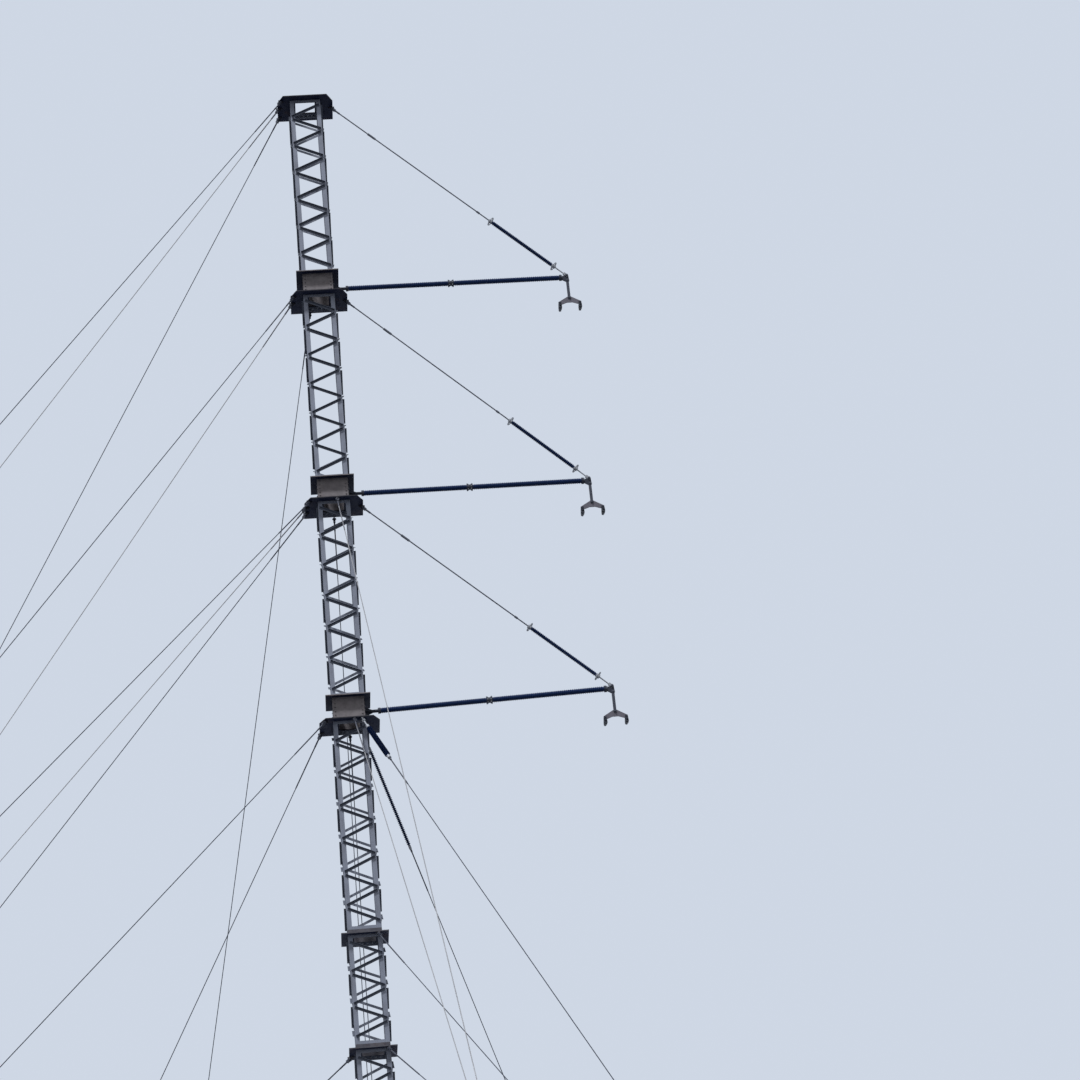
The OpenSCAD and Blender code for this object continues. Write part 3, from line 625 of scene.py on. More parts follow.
def placed(tree, given, shapes, out):
    """Puts joined shapes on each point along its axis attribute, turned at random about it."""
    joined = tree.add("GeometryNodeJoinGeometry")
    for shape in shapes:
        tree.feed(shape, joined.inputs[0])
    axis = tree.add("GeometryNodeInputNamedAttribute", {"Name": "axis"}, data_type="FLOAT_VECTOR")
    aligned = tree.add("FunctionNodeAlignRotationToVector", {"Vector": axis.outputs[0]}, axis="Z")
    turn = tree.add("FunctionNodeRandomValue", {3: 2*math.pi, "Seed": given["Seed"]}, data_type="FLOAT")
    about = tree.add("ShaderNodeCombineXYZ", {"Z": turn.outputs[1]})
    turned = tree.add("FunctionNodeRotateRotation", {
        "Rotation": aligned.outputs[0], "Rotate By": about.outputs[0]}, rotation_space="LOCAL")
    on = tree.add("GeometryNodeInstanceOnPoints", {
        "Points": given["Geometry"], "Instance": joined.outputs[0], "Rotation": turned.outputs[0]})
    finished(tree, on.outputs[0], given, out)


def tier(tree, sides, low_r, high_r, depth, base):
    """A closed cone or cylinder of a few sides that stands on a height."""
    cone = tree.add("GeometryNodeMeshCone", {
        "Vertices": sides, "Radius Top": high_r, "Radius Bottom": low_r, "Depth": depth})
    lift = tree.add("ShaderNodeCombineXYZ", {"Z": base})
    return tree.add("GeometryNodeTransform", {
        "Geometry": cone.outputs[0], "Translation": lift.outputs[0]}).outputs[0]


def bolt_tree():
    """A washer, a hexagon head or nut, and a thread's end, on each point."""
    tree, given, out = growing_group("Bolts", Radius=0.018, Height=0.013, Washer=0.003, Thread=0.009,
                                     Tail=0.008, Seed=3)
    radius, height, washer, thread = (given[k] for k in ("Radius", "Height", "Washer", "Thread"))
    wide = tree.times(radius, 1.3)
    head = tree.times(height, 0.85)
    placed(tree, given, [
        tier(tree, 12, wide, wide, washer, 0.0),
        tier(tree, 6, radius, radius, head, washer),
        tier(tree, 6, radius, tree.times(radius, 0.86), tree.maths("SUBTRACT", height, head),
             tree.maths("ADD", washer, head)),
        tier(tree, 8, thread, thread, given["Tail"], tree.maths("ADD", washer, height)),
    ], out)


def rivet_tree():
    """A low domed head on each point."""
    tree, given, out = growing_group("Rivets", Radius=0.0085, Height=0.006, Seed=5)
    crown = tree.times(given["Radius"], 0.55)
    placed(tree, given, [tier(tree, 8, given["Radius"], crown, given["Height"], 0.0)], out)


def shed_tree():
    """A small shed on each point: a slope on its start side, and a shorter one behind."""
    tree, given, out = growing_group("Small Sheds", Core=0.038, Shed=0.052, Slope=0.006, Back=0.003, Seed=7)
    core, shed, slope = given["Core"], given["Shed"], given["Slope"]
    placed(tree, given, [tier(tree, 28, core, shed, slope, 0.0),
                         tier(tree, 28, shed, core, given["Back"], slope)], out)


def fine_curve(tree, given):
    """The mesh's edges as curves of short steps."""
    curve = tree.add("GeometryNodeMeshToCurve", {"Mesh": given["Geometry"]}).outputs[0]
    return tree.add("GeometryNodeResampleCurve", {"Curve": curve, "Length": given["Step"]},
                    mode="LENGTH").outputs[0]


def grip_tree():
    """A rope of a few wires wrapped round each edge of the mesh."""
    tree, given, out = growing_group("Wrapped Grips", Radius=0.0118, Groove=0.003, Wires=6, Lay=0.12,
                                     Step=0.012)
    along = tree.add("GeometryNodeSplineParameter").outputs["Length"]
    turn = tree.times(tree.maths("DIVIDE", along, given["Lay"]), 2*math.pi)
    twisted = tree.add("GeometryNodeSetCurveTilt", {"Curve": fine_curve(tree, given), "Tilt": turn})
    profile = tree.add("GeometryNodeCurveStar", {
        "Points": given["Wires"], "Outer Radius": given["Radius"],
        "Inner Radius": tree.maths("SUBTRACT", given["Radius"], given["Groove"])})
    rope = tree.add("GeometryNodeCurveToMesh", {
        "Curve": twisted.outputs[0], "Profile Curve": profile.outputs[0], "Fill Caps": True})
    finished(tree, rope.outputs[0], given, out)


def bead_tree():
    """A rippled weld bead along each edge of the mesh."""
    tree, given, out = growing_group("Weld Beads", Radius=0.006, Step=0.009, Seed=2.0)
    ripple = tree.add("ShaderNodeTexNoise", {"Scale": 140.0, "W": given["Seed"]}, noise_dimensions="4D")
    radius = tree.times(tree.between(ripple.outputs[0], 0.3, 0.7, 0.75, 1.15), given["Radius"])
    swelling = tree.add("GeometryNodeSetCurveRadius", {"Curve": fine_curve(tree, given), "Radius": radius})
    profile = tree.add("GeometryNodeCurvePrimitiveCircle", {"Resolution": 6, "Radius": 1.0})
    bead = tree.add("GeometryNodeCurveToMesh", {
        "Curve": swelling.outputs[0], "Profile Curve": profile.outputs[0], "Fill Caps": True,
        "Scale": radius})
    finished(tree, bead.outputs[0], given, out)


def keep(made, body):
    """A finished piece rides on its body."""
    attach(made, body)


def grown(name, mesh, body, slot, group, material, **inputs):
    """Runs a Geometry Nodes tree on points or edges, and keeps the result as a plain piece."""
    made = link_object(name, mesh)
    modifier = made.modifiers.new(group, "NODES")
    modifier.node_group = bpy.data.node_groups[group]
    inputs["Material"] = finish(material)
    for item in modifier.node_group.interface.items_tree:
        if item.in_out == "INPUT" and item.name in inputs:
            modifier[item.identifier] = inputs[item.name]
    evaluated = made.evaluated_get(bpy.context.evaluated_depsgraph_get())
    result = bpy.data.meshes.new_from_object(evaluated)
    made.modifiers.clear()
    made.data = result
    keep(made, body)


def point_mesh(name, places):
    """Loose points, each with the axis that its fastener or shed stands along."""
    places = list(places)
    mesh = bpy.data.meshes.new(name)
    mesh.from_pydata([tuple(p) for p, _ in places], [], [])
    axis = mesh.attributes.new("axis", "FLOAT_VECTOR", "POINT")
    axis.data.foreach_set("vector", [c for _, n in places for c in n])
    return mesh


def edge_mesh(name, segments):
    """Loose edges, one for each pair of ends."""
    points = [tuple(p) for segment in segments for p in segment]
    mesh = bpy.data.meshes.new(name)
    mesh.from_pydata(points, [(i, i + 1) for i in range(0, len(points), 2)], [])
    return mesh


def bolts(name, places, body, slot, kind, material="fitting_finish"):
    """A piece of bolts or nuts of one kind."""
    f = sizes("mast_fasteners")
    radius, height, tail = getattr(f, kind)
    grown(name, point_mesh(name, places), body, slot, "Bolts", material, Radius=radius, Height=height,
          Washer=f.washer_t, Thread=radius/2, Tail=tail)


def beads(name, segments, slot, material, scale=1.0):
    grown(name, edge_mesh(name, segments), MAST, slot, "Weld Beads", material,
          Radius=scale*sizes("mast_fasteners").bead_r)


# Places that are read from the frame

def box_high(node):
    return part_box(node)[1]


def plate_under(node):
    return box_high(node).z - sizes("mast_plates").plate_t


def pin_of(kind, level):
    return Vector(JOINTS[kind + level]["pos_m"])


def solids(node):
    """The vertices of each solid in a CAD node, as one array a solid, in the mesh's own order."""
    shape = bmesh.new()
    shape.from_mesh(NODES[node].data)
    bmesh.ops.remove_doubles(shape, verts=shape.verts, dist=1e-5)
    seen = set()
    found = []
    for first in shape.verts:
        if first in seen:
            continue
        seen.add(first)
        group = [first]
        for reached in group:
            for edge in reached.link_edges:
                other = edge.other_vert(reached)
                if other not in seen:
                    seen.add(other)
                    group.append(other)
        found.append(np.array([v.co for v in group]))
    shape.free()
    return found


def long_axis(points):
    """Upper and lower end of a long straight solid's axis, in the middle of its end faces."""
    middle = points.mean(0)
    direction = np.linalg.svd(points - middle, full_matrices=False)[2][0]
    if direction[2] > 0:
        direction = -direction
    reach = (points - middle) @ direction
    near = 0.002
    return (Vector(points[reach < reach.min() + near].mean(0)),
            Vector(points[reach > reach.max() - near].mean(0)))


def guy_lines(node):
    """Upper and lower end of the axis of each guy or insulator in a node."""
    return [long_axis(points) for points in solids(node)]


def front_first(node):
    return sorted(guy_lines(node), key=lambda ends: ends[1].y)


def all_guys():
    """Node, upper end and lower end of each guy; an insulated guy starts at its insulator's top."""
    found = [(n, *ends) for n in NODES if n.startswith("guys_") and n != "guys_lower_right"
             for ends in guy_lines(n)]
    for (top, _), (_, bottom) in zip(front_first("guy_insulators"), front_first("guys_lower_right")):
        found.append(("guys_lower_right", top, bottom))
    return found


def guy_pins():
    """Direction down, level direction outwards, and upper and lower pin of each guy."""
    back = sizes("mast_guys").pin_back
    for _, top, bottom in all_guys():
        down = (bottom - top).normalized()
        out = Vector((down.x, down.y, 0)).normalized()
        yield down, out, top + down*back, bottom - down*back


def end_node(level):
    """The middle of the upright plate at an arm's end."""
    s = sizes("mast_arms")
    return pin_of("link_swing_", level) + Vector((-s.node_back, 0, s.post_drop))


def post_line(level):
    """A post's root and its direction outwards."""
    s = sizes("mast_arms")
    root = Vector((s.root_x, 0, plate_under("guy_plate_" + level) + s.root_z))
    return root, (end_node(level) - root).normalized()


def post_stretches(level):
    """Where the two shedded rods of a post start and end, from its root."""
    s = sizes("mast_arms")
    middle = s.coupling_x - s.root_x
    end = end_node(level).x - s.post_end - s.root_x
    return [(s.bracket_l, middle - s.coupling_l/2), (middle + s.coupling_l/2, end)]


def stay_line(level):
    """A stay's lower pin, its direction upwards and its upper pin."""
    s = sizes("mast_arms")
    low = end_node(level) + Vector((s.stay_pin_x, 0, s.stay_pin_z))
    high = Vector((s.stay_top_x, 0, plate_under(PLATE_ABOVE[level]) - sizes("mast_guys").pin_drop))
    return low, (high - low).normalized(), high


def stay_stretch():
    """Where the shedded rod of a stay insulator starts and ends, from the lower pin."""
    s = sizes("mast_arms")
    return s.stay_tail_l + s.fitting_l, s.stay_tail_l + s.stay_insulator_l - s.fitting_l


def guy_insulator_lines():
    """Each guy insulator's upper end, direction and shedded stretch: the front one, then the back one."""
    g = sizes("mast_guys")
    fitting = sizes("mast_arms").fitting_l
    lines = zip(front_first("guy_insulators"), (g.front_insulator_l, g.back_insulator_l))
    for (top, bottom), whole in lines:
        end = (bottom - top).length - fitting
        yield top, (bottom - top).normalized(), (end + 2*fitting - whole, end)


def guy_insulator_metal(tree):
    """1 on the metal ends of the two insulators, of which one lies in front of the axis."""
    front, back = [off_stretches(tree, top, direction, [stretch])
                   for top, direction, stretch in guy_insulator_lines()]
    behind = tree.maths("GREATER_THAN", tree.split(tree.where())["Y"], 0.0)
    return tree.blend(behind, front, back)


def sections():
    """Name, bottom height and top height of each column section."""
    return [(n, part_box(n)[0].z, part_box(n)[1].z) for n in NODES if "section" in n]


class MAST_OT_finishes(bpy.types.Operator):
    """Make the finishes and put them on the CAD nodes"""
    bl_idname = "mast.finishes"
    bl_label = "Finishes"

    def execute(self, context):
        make_finishes()
        by_slot = {
            "column_metal": "column_finish", "plate_metal": "plate_finish",
            "insulator_skin": "insulator_finish", "fitting_steel": "fitting_finish",
            "guy_wire": "dark_fitting_finish", "foot_steel": "foot_finish",
        }
        for row in frame["record"]["subparts"]:
            joint_plate = "joint_plate" in row["node"]
            dress(row["node"], "joint_plate_finish" if joint_plate else by_slot[row["material_slot"]])
        for level in LEVELS:
            self.dress_arm(level)
        insulator_finish("guy_insulator_finish", guy_insulator_metal, sizes("mast_colours").fitting)
        dress("guy_insulators", "guy_insulator_finish")
        for build in (bolt_tree, rivet_tree, shed_tree, grip_tree, bead_tree):
            build()
        return {"FINISHED"}

    def dress_arm(self, level):
        """Finishes of one arm, whose metal ends are told from the skin by their place."""
        c = sizes("mast_colours")
        dress("box_" + level, "box_finish")
        dress("link_" + level, "dark_fitting_finish")
        dress("stay_rod_" + level, "stay_rod_finish")
        post, direction = post_line(level)
        stay, upward, _ = stay_line(level)
        insulator_finish("post_finish_" + level, lambda tree: off_stretches(
            tree, post, direction, post_stretches(level)), c.dark_fitting, 0.0)
        insulator_finish("stay_insulator_finish_" + level, lambda tree: off_stretches(
            tree, stay, upward, [stay_stretch()]), c.fitting)
        yoke_finish("yoke_finish_" + level, pin_of("yoke_swing_", level).z)
        for piece in ("post", "stay_insulator", "yoke"):
            dress(f"{piece}_{level}", f"{piece}_finish_{level}")


def lacing_rivets():
    """Heads outside and tails inside, two at each end of each lacing bar."""
    s = sizes("mast_column")
    reach = s.half_w - s.leg_w + s.lace_lap
    for node, low, high in sections():
        count = s.long_bars if high - low > s.long_from else s.short_bars
        node_rise = (high - low - 2*s.lace_end)/count
        rise = node_rise - s.lace_gap
        for quarter, turn in enumerate(QUARTERS):
            first = 1 if (quarter % 2 == 0) == (node not in TURNED) else -1
            for i in range(count):
                side = first if i % 2 == 0 else -first
                start = Vector((side*reach, 0, low + s.lace_end + i*node_rise + s.lace_gap/2))
                end = Vector((-side*reach, 0, start.z + rise))
                run = (end - start).normalized()
                for along in LACING_RIVETS:
                    for spot in (start + run*along, end - run*along):
                        yield turn @ (spot + ALONG*(s.half_w + s.lace_t)), turn @ ALONG
                        yield turn @ (spot + ALONG*(s.half_w - s.leg_t)), turn @ -ALONG


class MAST_OT_lacing_rivets(bpy.types.Operator):
    """Rivets that hold the lacing bars to the legs"""
    bl_idname = "mast.lacing_rivets"
    bl_label = "Lacing rivets"

    def execute(self, context):
        f = sizes("mast_fasteners")
        grown("lacing_rivets", point_mesh("lacing_rivets", lacing_rivets()), MAST, "column_metal",
              "Rivets", "column_finish", Radius=f.rivet_r, Height=f.rivet_h)
        return {"FINISHED"}


def ring_of_bolts(z, up):
    """Bolts along the four sides of a section's end flange, at one height."""
    s = sizes("mast_column")
    line = s.half_w - s.leg_w/2
    half = line - FLANGE_INSET
    for turn in QUARTERS:
        for i in range(FLANGE_BOLTS):
            yield turn @ Vector((-half + 2*half*i/(FLANGE_BOLTS - 1), line, z)), UP*up


class MAST_OT_splice_bolts(bpy.types.Operator):
    """Bolts through the end flanges, joint plates and guy plates"""
    bl_idname = "mast.splice_bolts"
    bl_label = "Splice bolts"

    def execute(self, context):
        flange = sizes("mast_column").frame_t
        rings = [ring for _, low, high in sections() for ring in ((low + flange, 1), (high - flange, -1))]
        rings += [(box_high("guy_plate_top").z, 1), (plate_under("gimbal_head"), -1)]
        places = [place for z, up in rings for place in ring_of_bolts(z, up)]
        bolts("splice_bolts", places, MAST, "fitting_steel", "splice_bolt")
        return {"FINISHED"}


def small_sheds(name, start, direction, stretches, pitch, core_r, shed_r):
    """Small sheds halfway between an insulator's main ones, which are spread about each stretch's middle."""
    places = []
    for low, high in stretches:
        count = math.floor((high - low - pitch/2)/pitch)
        first = low + (high - low - (count - 1)*pitch)/2
        places += [(start + direction*(first + (i + 0.5)*pitch), direction) for i in range(count - 1)]
    grown(name, point_mesh(name, places), MAST, "insulator_skin", "Small Sheds", "insulator_finish",
          Core=core_r, Shed=(core_r + shed_r)/2)


class MAST_OT_small_sheds(bpy.types.Operator):
    """The small sheds between the main ones on posts, stays and guys"""
    bl_idname = "mast.small_sheds"
    bl_label = "Small sheds"

    def execute(self, context):
        s = sizes("mast_arms")
        g = sizes("mast_guys")
        for level in LEVELS:
            small_sheds("post_small_sheds_" + level, *post_line(level), post_stretches(level),
                        s.post_pitch, s.post_core_r, s.post_r)
            low, upward, _ = stay_line(level)
            small_sheds("stay_small_sheds_" + level, low, upward, [stay_stretch()],
                        s.stay_pitch, s.stay_core_r, s.stay_r)
        rows = zip(("front", "back"), guy_insulator_lines(), (g.front_insulator_r, g.back_insulator_r))
        for side, (top, direction, stretch), shed_r in rows:
            small_sheds("guy_small_sheds_" + side, top, direction, [stretch],
                        s.stay_pitch, shed_r/2, shed_r)
        return {"FINISHED"}


def arm_bolts(level):
    """Bolts of a post's root plate, coupling and end flange."""
    s = sizes("mast_arms")
    root, direction = post_line(level)
    for y in (-1, 1):
        for z in (-1, 1):
            yield root + Vector((0, y*ROOT_BOLT[0], z*ROOT_BOLT[1])), OUTWARDS
    side = direction.orthogonal().normalized()
    for i in range(COUPLING_BOLTS):
        out = Matrix.Rotation(2*math.pi*i/COUPLING_BOLTS, 3, direction) @ side
        for end in (-1, 1):
            along = s.coupling_x - s.root_x + end*(s.coupling_l/2 - COUPLING_FLANGE)
            yield root + direction*along + out*(s.post_core_r + COUPLING_BOLT_OUT), -end*direction
    end_face = post_stretches(level)[1][1] + END_FLANGE
    for i in range(4):
        out = Matrix.Rotation((i + 0.5)*math.pi/2, 3, direction) @ side
        yield root + direction*end_face + out*END_BOLT_R, direction


class MAST_OT_arm_bolts(bpy.types.Operator):
    """Bolts at the posts' roots, couplings and ends"""
    bl_idname = "mast.arm_bolts"
    bl_label = "Arm bolts"

    def execute(self, context):
        places = [place for level in LEVELS for place in arm_bolts(level)]
        bolts("arm_bolts", places, MAST, "fitting_steel", "small_bolt")
        return {"FINISHED"}


def both_ends(pin, axis, face):
    """A nut on both ends of a pin that lies along an axis."""
    return [(pin + axis*(end*face), axis*end) for end in (-1, 1)]


class MAST_OT_pin_nuts(bpy.types.Operator):
    """Nuts on the pins of guys, stays, links and yokes"""
    bl_idname = "mast.pin_nuts"
    bl_label = "Pin nuts"

    def execute(self, context):
        cheek = sizes("mast_guys").cheek_face
        places = []
        for down, _, *pins in guy_pins():
            for pin in pins:
                places += both_ends(pin, down.cross(UP).normalized(), cheek)
        for level in LEVELS:
            low, _, high = stay_line(level)
            places += both_ends(low, ALONG, cheek) + both_ends(high, ALONG, cheek)
        bolts("pin_nuts", places, MAST, "fitting_steel", "pin_nut", "dark_fitting_finish")
        for level in LEVELS:
            places = [place for kind in ("link_swing_", "yoke_swing_")
                      for place in both_ends(pin_of(kind, level), ALONG, sizes("mast_arms").link_face)]
            bolts("link_nuts_" + level, places, "link_" + level, "fitting_steel", "pin_nut",
                  "dark_fitting_finish")
        return {"FINISHED"}


class MAST_OT_yoke_bolts(bpy.types.Operator):
    """Bolts through the heads of the clamps"""
    bl_idname = "mast.yoke_bolts"
    bl_label = "Yoke bolts"

    def execute(self, context):
        s = sizes("mast_arms")
        for level in LEVELS:
            pin = pin_of("yoke_swing_", level)
            places = [(pin + Vector((side*s.clamp_gap/2, end*CLAMP_HALF, rise - s.clamp_drop)), ALONG*end)
                      for side in (-1, 1) for end in (-1, 1) for rise in CLAMP_BOLTS]
            bolts("yoke_bolts_" + level, places, "yoke_" + level, "fitting_steel", "small_bolt",
                  "dark_fitting_finish")
        return {"FINISHED"}


def wires():
    """Upper and lower end of the bare wire of each guy, and whether it is of lighter strand."""
    s = sizes("mast_guys")
    for node, top, bottom in all_guys():
        run = bottom - top
        down = run.normalized()
        start = top + down*(s.pin_back + s.fork_l)
        end = bottom - down*(s.pin_back + s.foot_fork_l + s.turnbuckle_l)
        if node == "guys_lower_right":
            start += down*((s.front_insulator_l if bottom.y < 0 else s.back_insulator_l) + s.socket_l)
        yield start, end, round(math.degrees(math.atan2(run.y, run.x))) % 360 in BRIGHT_GUYS


def tube(name, lines, radius, material):
    """Straight tubes with a UV map that counts turns in U and metres in V."""
    sides = 12
    shape = bmesh.new()
    layer = shape.loops.layers.uv.new("laid")
    for start, end in lines:
        direction = (end - start).normalized()
        side = direction.orthogonal().normalized()
        outs = [Matrix.Rotation(2*math.pi*i/sides, 3, direction) @ side*radius for i in range(sides)]
        rings = [[shape.verts.new(place + out) for out in outs] for place in (start, end)]
        run = (end - start).length
        for i in range(sides):
            j = (i + 1) % sides
            wall = shape.faces.new((rings[0][i], rings[0][j], rings[1][j], rings[1][i]))
            wall.smooth = True
            for loop, (u, v) in zip(wall.loops, ((i, 0), (i + 1, 0), (i + 1, run), (i, run))):
                loop[layer].uv = (u/sides, v)
        shape.faces.new(tuple(reversed(rings[0])))
        shape.faces.new(tuple(rings[1]))
    mesh = bpy.data.meshes.new(name)
    shape.to_mesh(mesh)
    shape.free()
    mesh.materials.append(finish(material))
    keep(link_object(name, mesh), MAST)


class MAST_OT_strand(bpy.types.Operator):
    """Laid strand and wrapped grips over the wires of the guys, in a piece for each finish"""
    bl_idname = "mast.strand"
    bl_label = "Strand"

    def execute(self, context):
        s = sizes("mast_guys")
        for kind, bright in (("", False), ("bright_", True)):
            lines = [(start, end) for start, end, lighter in wires() if lighter == bright]
            tube(kind + "strand", lines, s.wire_r, kind + "strand_finish")
            grips = []
            for start, end in lines:
                reach = (end - start).normalized()*s.grip_l
                grips += [(start, start + reach), (end - reach, end)]
            name = kind + "grips"
            grown(name, edge_mesh(name, grips), MAST, "guy_wire", "Wrapped Grips", kind + "grip_finish",
                  Radius=s.grip_r, Groove=s.grip_groove)
        return {"FINISHED"}


class MAST_OT_turnbuckle_nuts(bpy.types.Operator):
    """Lock nuts at both ends of each turnbuckle"""
    bl_idname = "mast.turnbuckle_nuts"
    bl_label = "Turnbuckle nuts"

    def execute(self, context):
        s = sizes("mast_arms")
        places = []
        for start, end, _ in wires():
            down = (end - start).normalized()
            places += [(end, -down), (end + down*sizes("mast_guys").turnbuckle_l, down)]
        bolts("turnbuckle_nuts", places, MAST, "guy_wire", "turnbuckle_nut", "dark_fitting_finish")
        places = []
        for level in LEVELS:
            _, upward, high = stay_line(level)
            near = high - upward*s.stay_turnbuckle
            places += [(near, upward), (near - upward*s.stay_turnbuckle_l, -upward)]
        bolts("stay_turnbuckle_nuts", places, MAST, "fitting_steel", "stay_nut")
        return {"FINISHED"}


def box_heights(level):
    """Heights of the lower and upper end of a box's walls."""
    return box_high("guy_plate_" + level).z, plate_under("box_" + level)


class MAST_OT_box_bolts(bpy.types.Operator):
    """Bolts through the walls of the boxes into their corner angles"""
    bl_idname = "mast.box_bolts"
    bl_label = "Box bolts"

    def execute(self, context):
        places = [place for level in LEVELS for place in self.places(*box_heights(level))]
        bolts("box_bolts", places, MAST, "plate_metal", "box_bolt", "box_finish")
        return {"FINISHED"}

    def places(self, low, high):
        """Down both sides of each wall of a box."""
        half = sizes("mast_plates").box_w/2
        for turn in QUARTERS:
            for i in range(BOX_ROWS):
                z = low + BOX_EDGE + (high - low - 2*BOX_EDGE)*i/(BOX_ROWS - 1)
                for x in (BOX_EDGE - half, half - BOX_EDGE):
                    yield turn @ Vector((x, half, z)), turn @ ALONG


def anchor_feet():
    """The level direction outwards and the middle of the plate's top of each guy's anchor."""
    for _, out, _, pin in guy_pins():
        yield out, Vector((pin.x, pin.y, sizes("mast_foot").anchor_t))


class MAST_OT_foot_bolts(bpy.types.Operator):
    """Holding-down bolts of the foot and the anchors, and the nuts of the gimbal's pin"""
    bl_idname = "mast.foot_bolts"
    bl_label = "Foot bolts"

    def execute(self, context):
        f = sizes("mast_foot")
        base = box_high("foundation_plate")
        reach = base.x - f.bolt_edge
        places = [(Vector((x*reach, y*reach, base.z)), UP)
                  for x in (-1, 0, 1) for y in (-1, 0, 1) if x or y]
        reach = box_high("gimbal_base").y - GIMBAL_BOLT_EDGE
        corners = [(x, y) for x in (-1, 1) for y in (-1, 1)]
        places += [(Vector((x*reach, y*reach, f.gimbal_plate_z)), UP) for x, y in corners]
        reach = f.anchor_w/2 - f.bolt_edge
        for out, middle in anchor_feet():
            places += [(middle + out*x*reach + UP.cross(out)*y*reach, UP) for x, y in corners]
        bolts("holding_down_bolts", places, MAST, "foot_steel", "holding_bolt", "foot_finish")
        pin = UP*((box_high("gimbal_head").z + base.z)/2)
        bolts("gimbal_nuts", both_ends(pin, OUTWARDS, f.gimbal_face), MAST, "foot_steel", "gimbal_nut",
              "foot_finish")
        return {"FINISHED"}


def both_sides(middle, along, half_l, side, half_t):
    """Two segments beside a plate that stands on another."""
    for end in (-1, 1):
        place = middle + side*end*half_t
        yield place - along*half_l, place + along*half_l


class MAST_OT_weld_beads(bpy.types.Operator):
    """Weld beads at the lugs, boxes, brackets, gimbal and anchors"""
    bl_idname = "mast.weld_beads"
    bl_label = "Weld beads"

    def execute(self, context):
        p = sizes("mast_plates")
        f = sizes("mast_foot")
        lugs = [(out, pin) for _, out, pin, _ in guy_pins()]
        lugs += [(OUTWARDS, stay_line(level)[2]) for level in LEVELS]
        segments = []
        for out, pin in lugs:
            middle = pin + out*(p.lug_out - p.lug_in)/2 + UP*sizes("mast_guys").pin_drop
            segments += both_sides(middle, out, (p.lug_out + p.lug_in)/2, UP.cross(out), p.lug_t/2)
        beads("lug_beads", segments, "plate_metal", "plate_finish")
        half = p.box_w/2
        segments = [[turn @ Vector((x*half, half, z)) for x in (-1, 1)]
                    for level in LEVELS for turn in QUARTERS for z in box_heights(level)]
        beads("box_beads", segments, "plate_metal", "box_finish")
        segments = [edge for level in LEVELS for edge in self.bracket_edges(post_line(level)[0])]
        beads("bracket_beads", segments, "fitting_steel", "dark_fitting_finish")
        segments = []
        for out, middle in anchor_feet():
            segments += both_sides(middle, out, f.anchor_lug_w/2, UP.cross(out), p.lug_t/2)
        for x in (-1, 1):
            middle = Vector((x*(f.gimbal_face - f.gimbal_cheek_t/2), 0, f.gimbal_plate_z))
            segments += both_sides(middle, ALONG, f.gimbal_cheek_w/2, OUTWARDS, f.gimbal_cheek_t/2)
        beads("foot_beads", segments, "foot_steel", "foot_finish", 1.3)
        return {"FINISHED"}

    def bracket_edges(self, root):
        """Both ribs of a bracket on its root plate, on both sides of the neck."""
        s = sizes("mast_arms")
        for along, side in ((UP, ALONG), (ALONG, UP)):
            for end in (-1, 1):
                middle = root + along*end*(s.rib_half + s.neck_r)/2
                yield from both_sides(middle, along, (s.rib_half - s.neck_r)/2, side, s.rib_t/2)


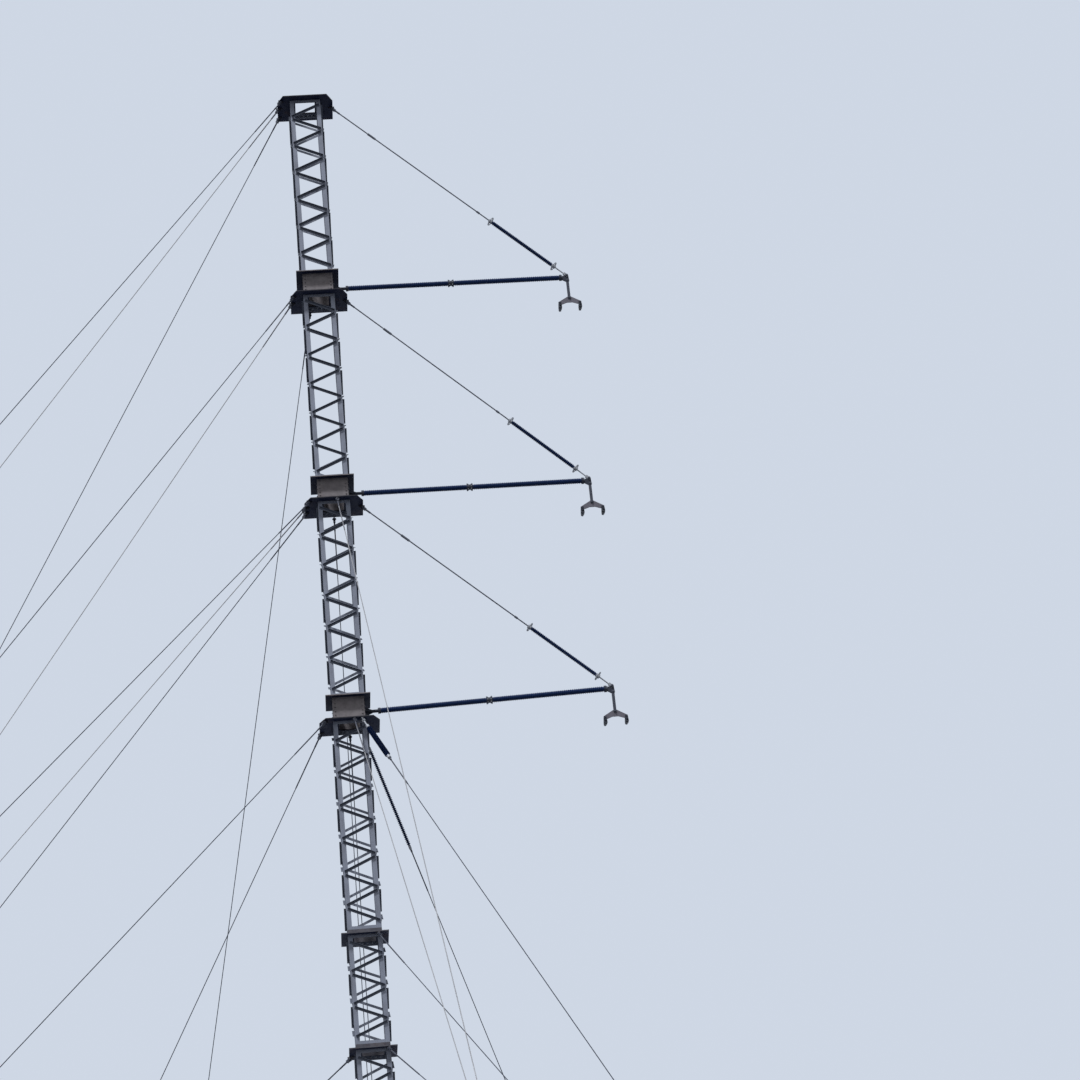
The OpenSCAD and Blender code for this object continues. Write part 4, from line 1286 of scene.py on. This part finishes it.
class MAST_OT_stage(bpy.types.Operator):
    """Floor, pale backdrop, lamps and the camera"""
    bl_idname = "mast.stage"
    bl_label = "Stage"

    def execute(self, context):
        s = sizes("mast_stage")
        c = sizes("mast_colours")
        self.floor(s, opaque(c.floor))
        self.sky(s, opaque(c.backdrop))
        lamp = bpy.data.lights.new("sun", "SUN")
        lamp.energy = s.sun_strength
        lamp.angle = s.sun_softness
        sun = link_object("sun", lamp)
        sun.rotation_euler = (math.pi/2 - s.sun_height, 0, s.sun_turn)
        lens = bpy.data.cameras.new("camera")
        lens.sensor_width = 36
        lens.lens = s.lens
        lens.clip_start = 0.5
        lens.clip_end = 2000
        camera = link_object("camera", lens)
        turn = (Matrix.Rotation(-s.yaw, 4, "Z") @ Matrix.Rotation(math.pi/2 + s.pitch, 4, "X")
                @ Matrix.Rotation(s.roll, 4, "Z"))
        camera.matrix_world = Matrix.Translation(s.eye) @ turn
        context.scene.camera = camera
        context.scene.view_settings.view_transform = "Standard"
        return {"FINISHED"}

    def seen(self, tree):
        """1 where a camera, mirror or glass ray sees the stage."""
        path = tree.add("ShaderNodeLightPath").outputs
        mirrored = tree.maths("MAXIMUM", path["Is Glossy Ray"], path["Is Transmission Ray"])
        return tree.maths("MAXIMUM", path["Is Camera Ray"], mirrored)

    def floor(self, s, pale):
        tree = Surface("floor_finish", 0.0)
        dim = opaque((s.ground_strength,)*3)
        tree.put(tree.shader, **{"Base Color": tree.mixed(self.seen(tree), dim, pale), "Roughness": 0.9})
        half = s.floor_w/2
        mesh = bpy.data.meshes.new("floor")
        mesh.from_pydata([(-half, -half, 0), (half, -half, 0), (half, half, 0), (-half, half, 0)], [],
                         [(0, 1, 2, 3)])
        mesh.materials.append(finish("floor_finish"))
        link_object("floor", mesh)

    def sky(self, s, pale):
        world = bpy.data.worlds.new("sky")
        world.use_nodes = True
        bpy.context.scene.world = world
        tree = Tree(world.node_tree)
        up = tree.split(tree.add("ShaderNodeTexCoord").outputs["Generated"])["Z"]
        level = tree.between(up, -0.15, 0.35, s.ground_strength, s.sky_strength)
        tree.put(world.node_tree.nodes["Background"].inputs,
                 Color=tree.mixed(self.seen(tree), tree.grey(level), pale))


class MAST_PT_panel(bpy.types.Panel):
    bl_label = "Mast"
    bl_idname = "MAST_PT_panel"
    bl_space_type = "VIEW_3D"
    bl_region_type = "UI"
    bl_category = "Mast"

    def draw(self, context):
        for operator in OPERATORS:
            self.layout.operator(operator.bl_idname)


SETTINGS = {
    "mast_column": MastColumnSizes, "mast_plates": MastPlateSizes, "mast_foot": MastFootSizes,
    "mast_arms": MastArmSizes, "mast_fasteners": MastFastenerSizes, "mast_guys": MastGuySizes,
    "mast_colours": MastColours, "mast_stage": MastStageSettings,
}
OPERATORS = (
    MAST_OT_finishes, MAST_OT_lacing_rivets, MAST_OT_splice_bolts, MAST_OT_small_sheds,
    MAST_OT_arm_bolts, MAST_OT_pin_nuts, MAST_OT_yoke_bolts, MAST_OT_strand,
    MAST_OT_turnbuckle_nuts, MAST_OT_box_bolts, MAST_OT_foot_bolts, MAST_OT_weld_beads,
    MAST_OT_stage,
)


def register():
    for kind in (*SETTINGS.values(), *OPERATORS, MAST_PT_panel):
        bpy.utils.register_class(kind)
    for name, kind in SETTINGS.items():
        setattr(bpy.types.Scene, name, PointerProperty(type=kind))


def unregister():
    for name in SETTINGS:
        delattr(bpy.types.Scene, name)
    for kind in reversed((*SETTINGS.values(), *OPERATORS, MAST_PT_panel)):
        bpy.utils.unregister_class(kind)


def main():
    register()
    for operator in OPERATORS:
        section, name = operator.bl_idname.split(".")
        getattr(getattr(bpy.ops, section), name)()


if __name__ == "__main__":
    main()
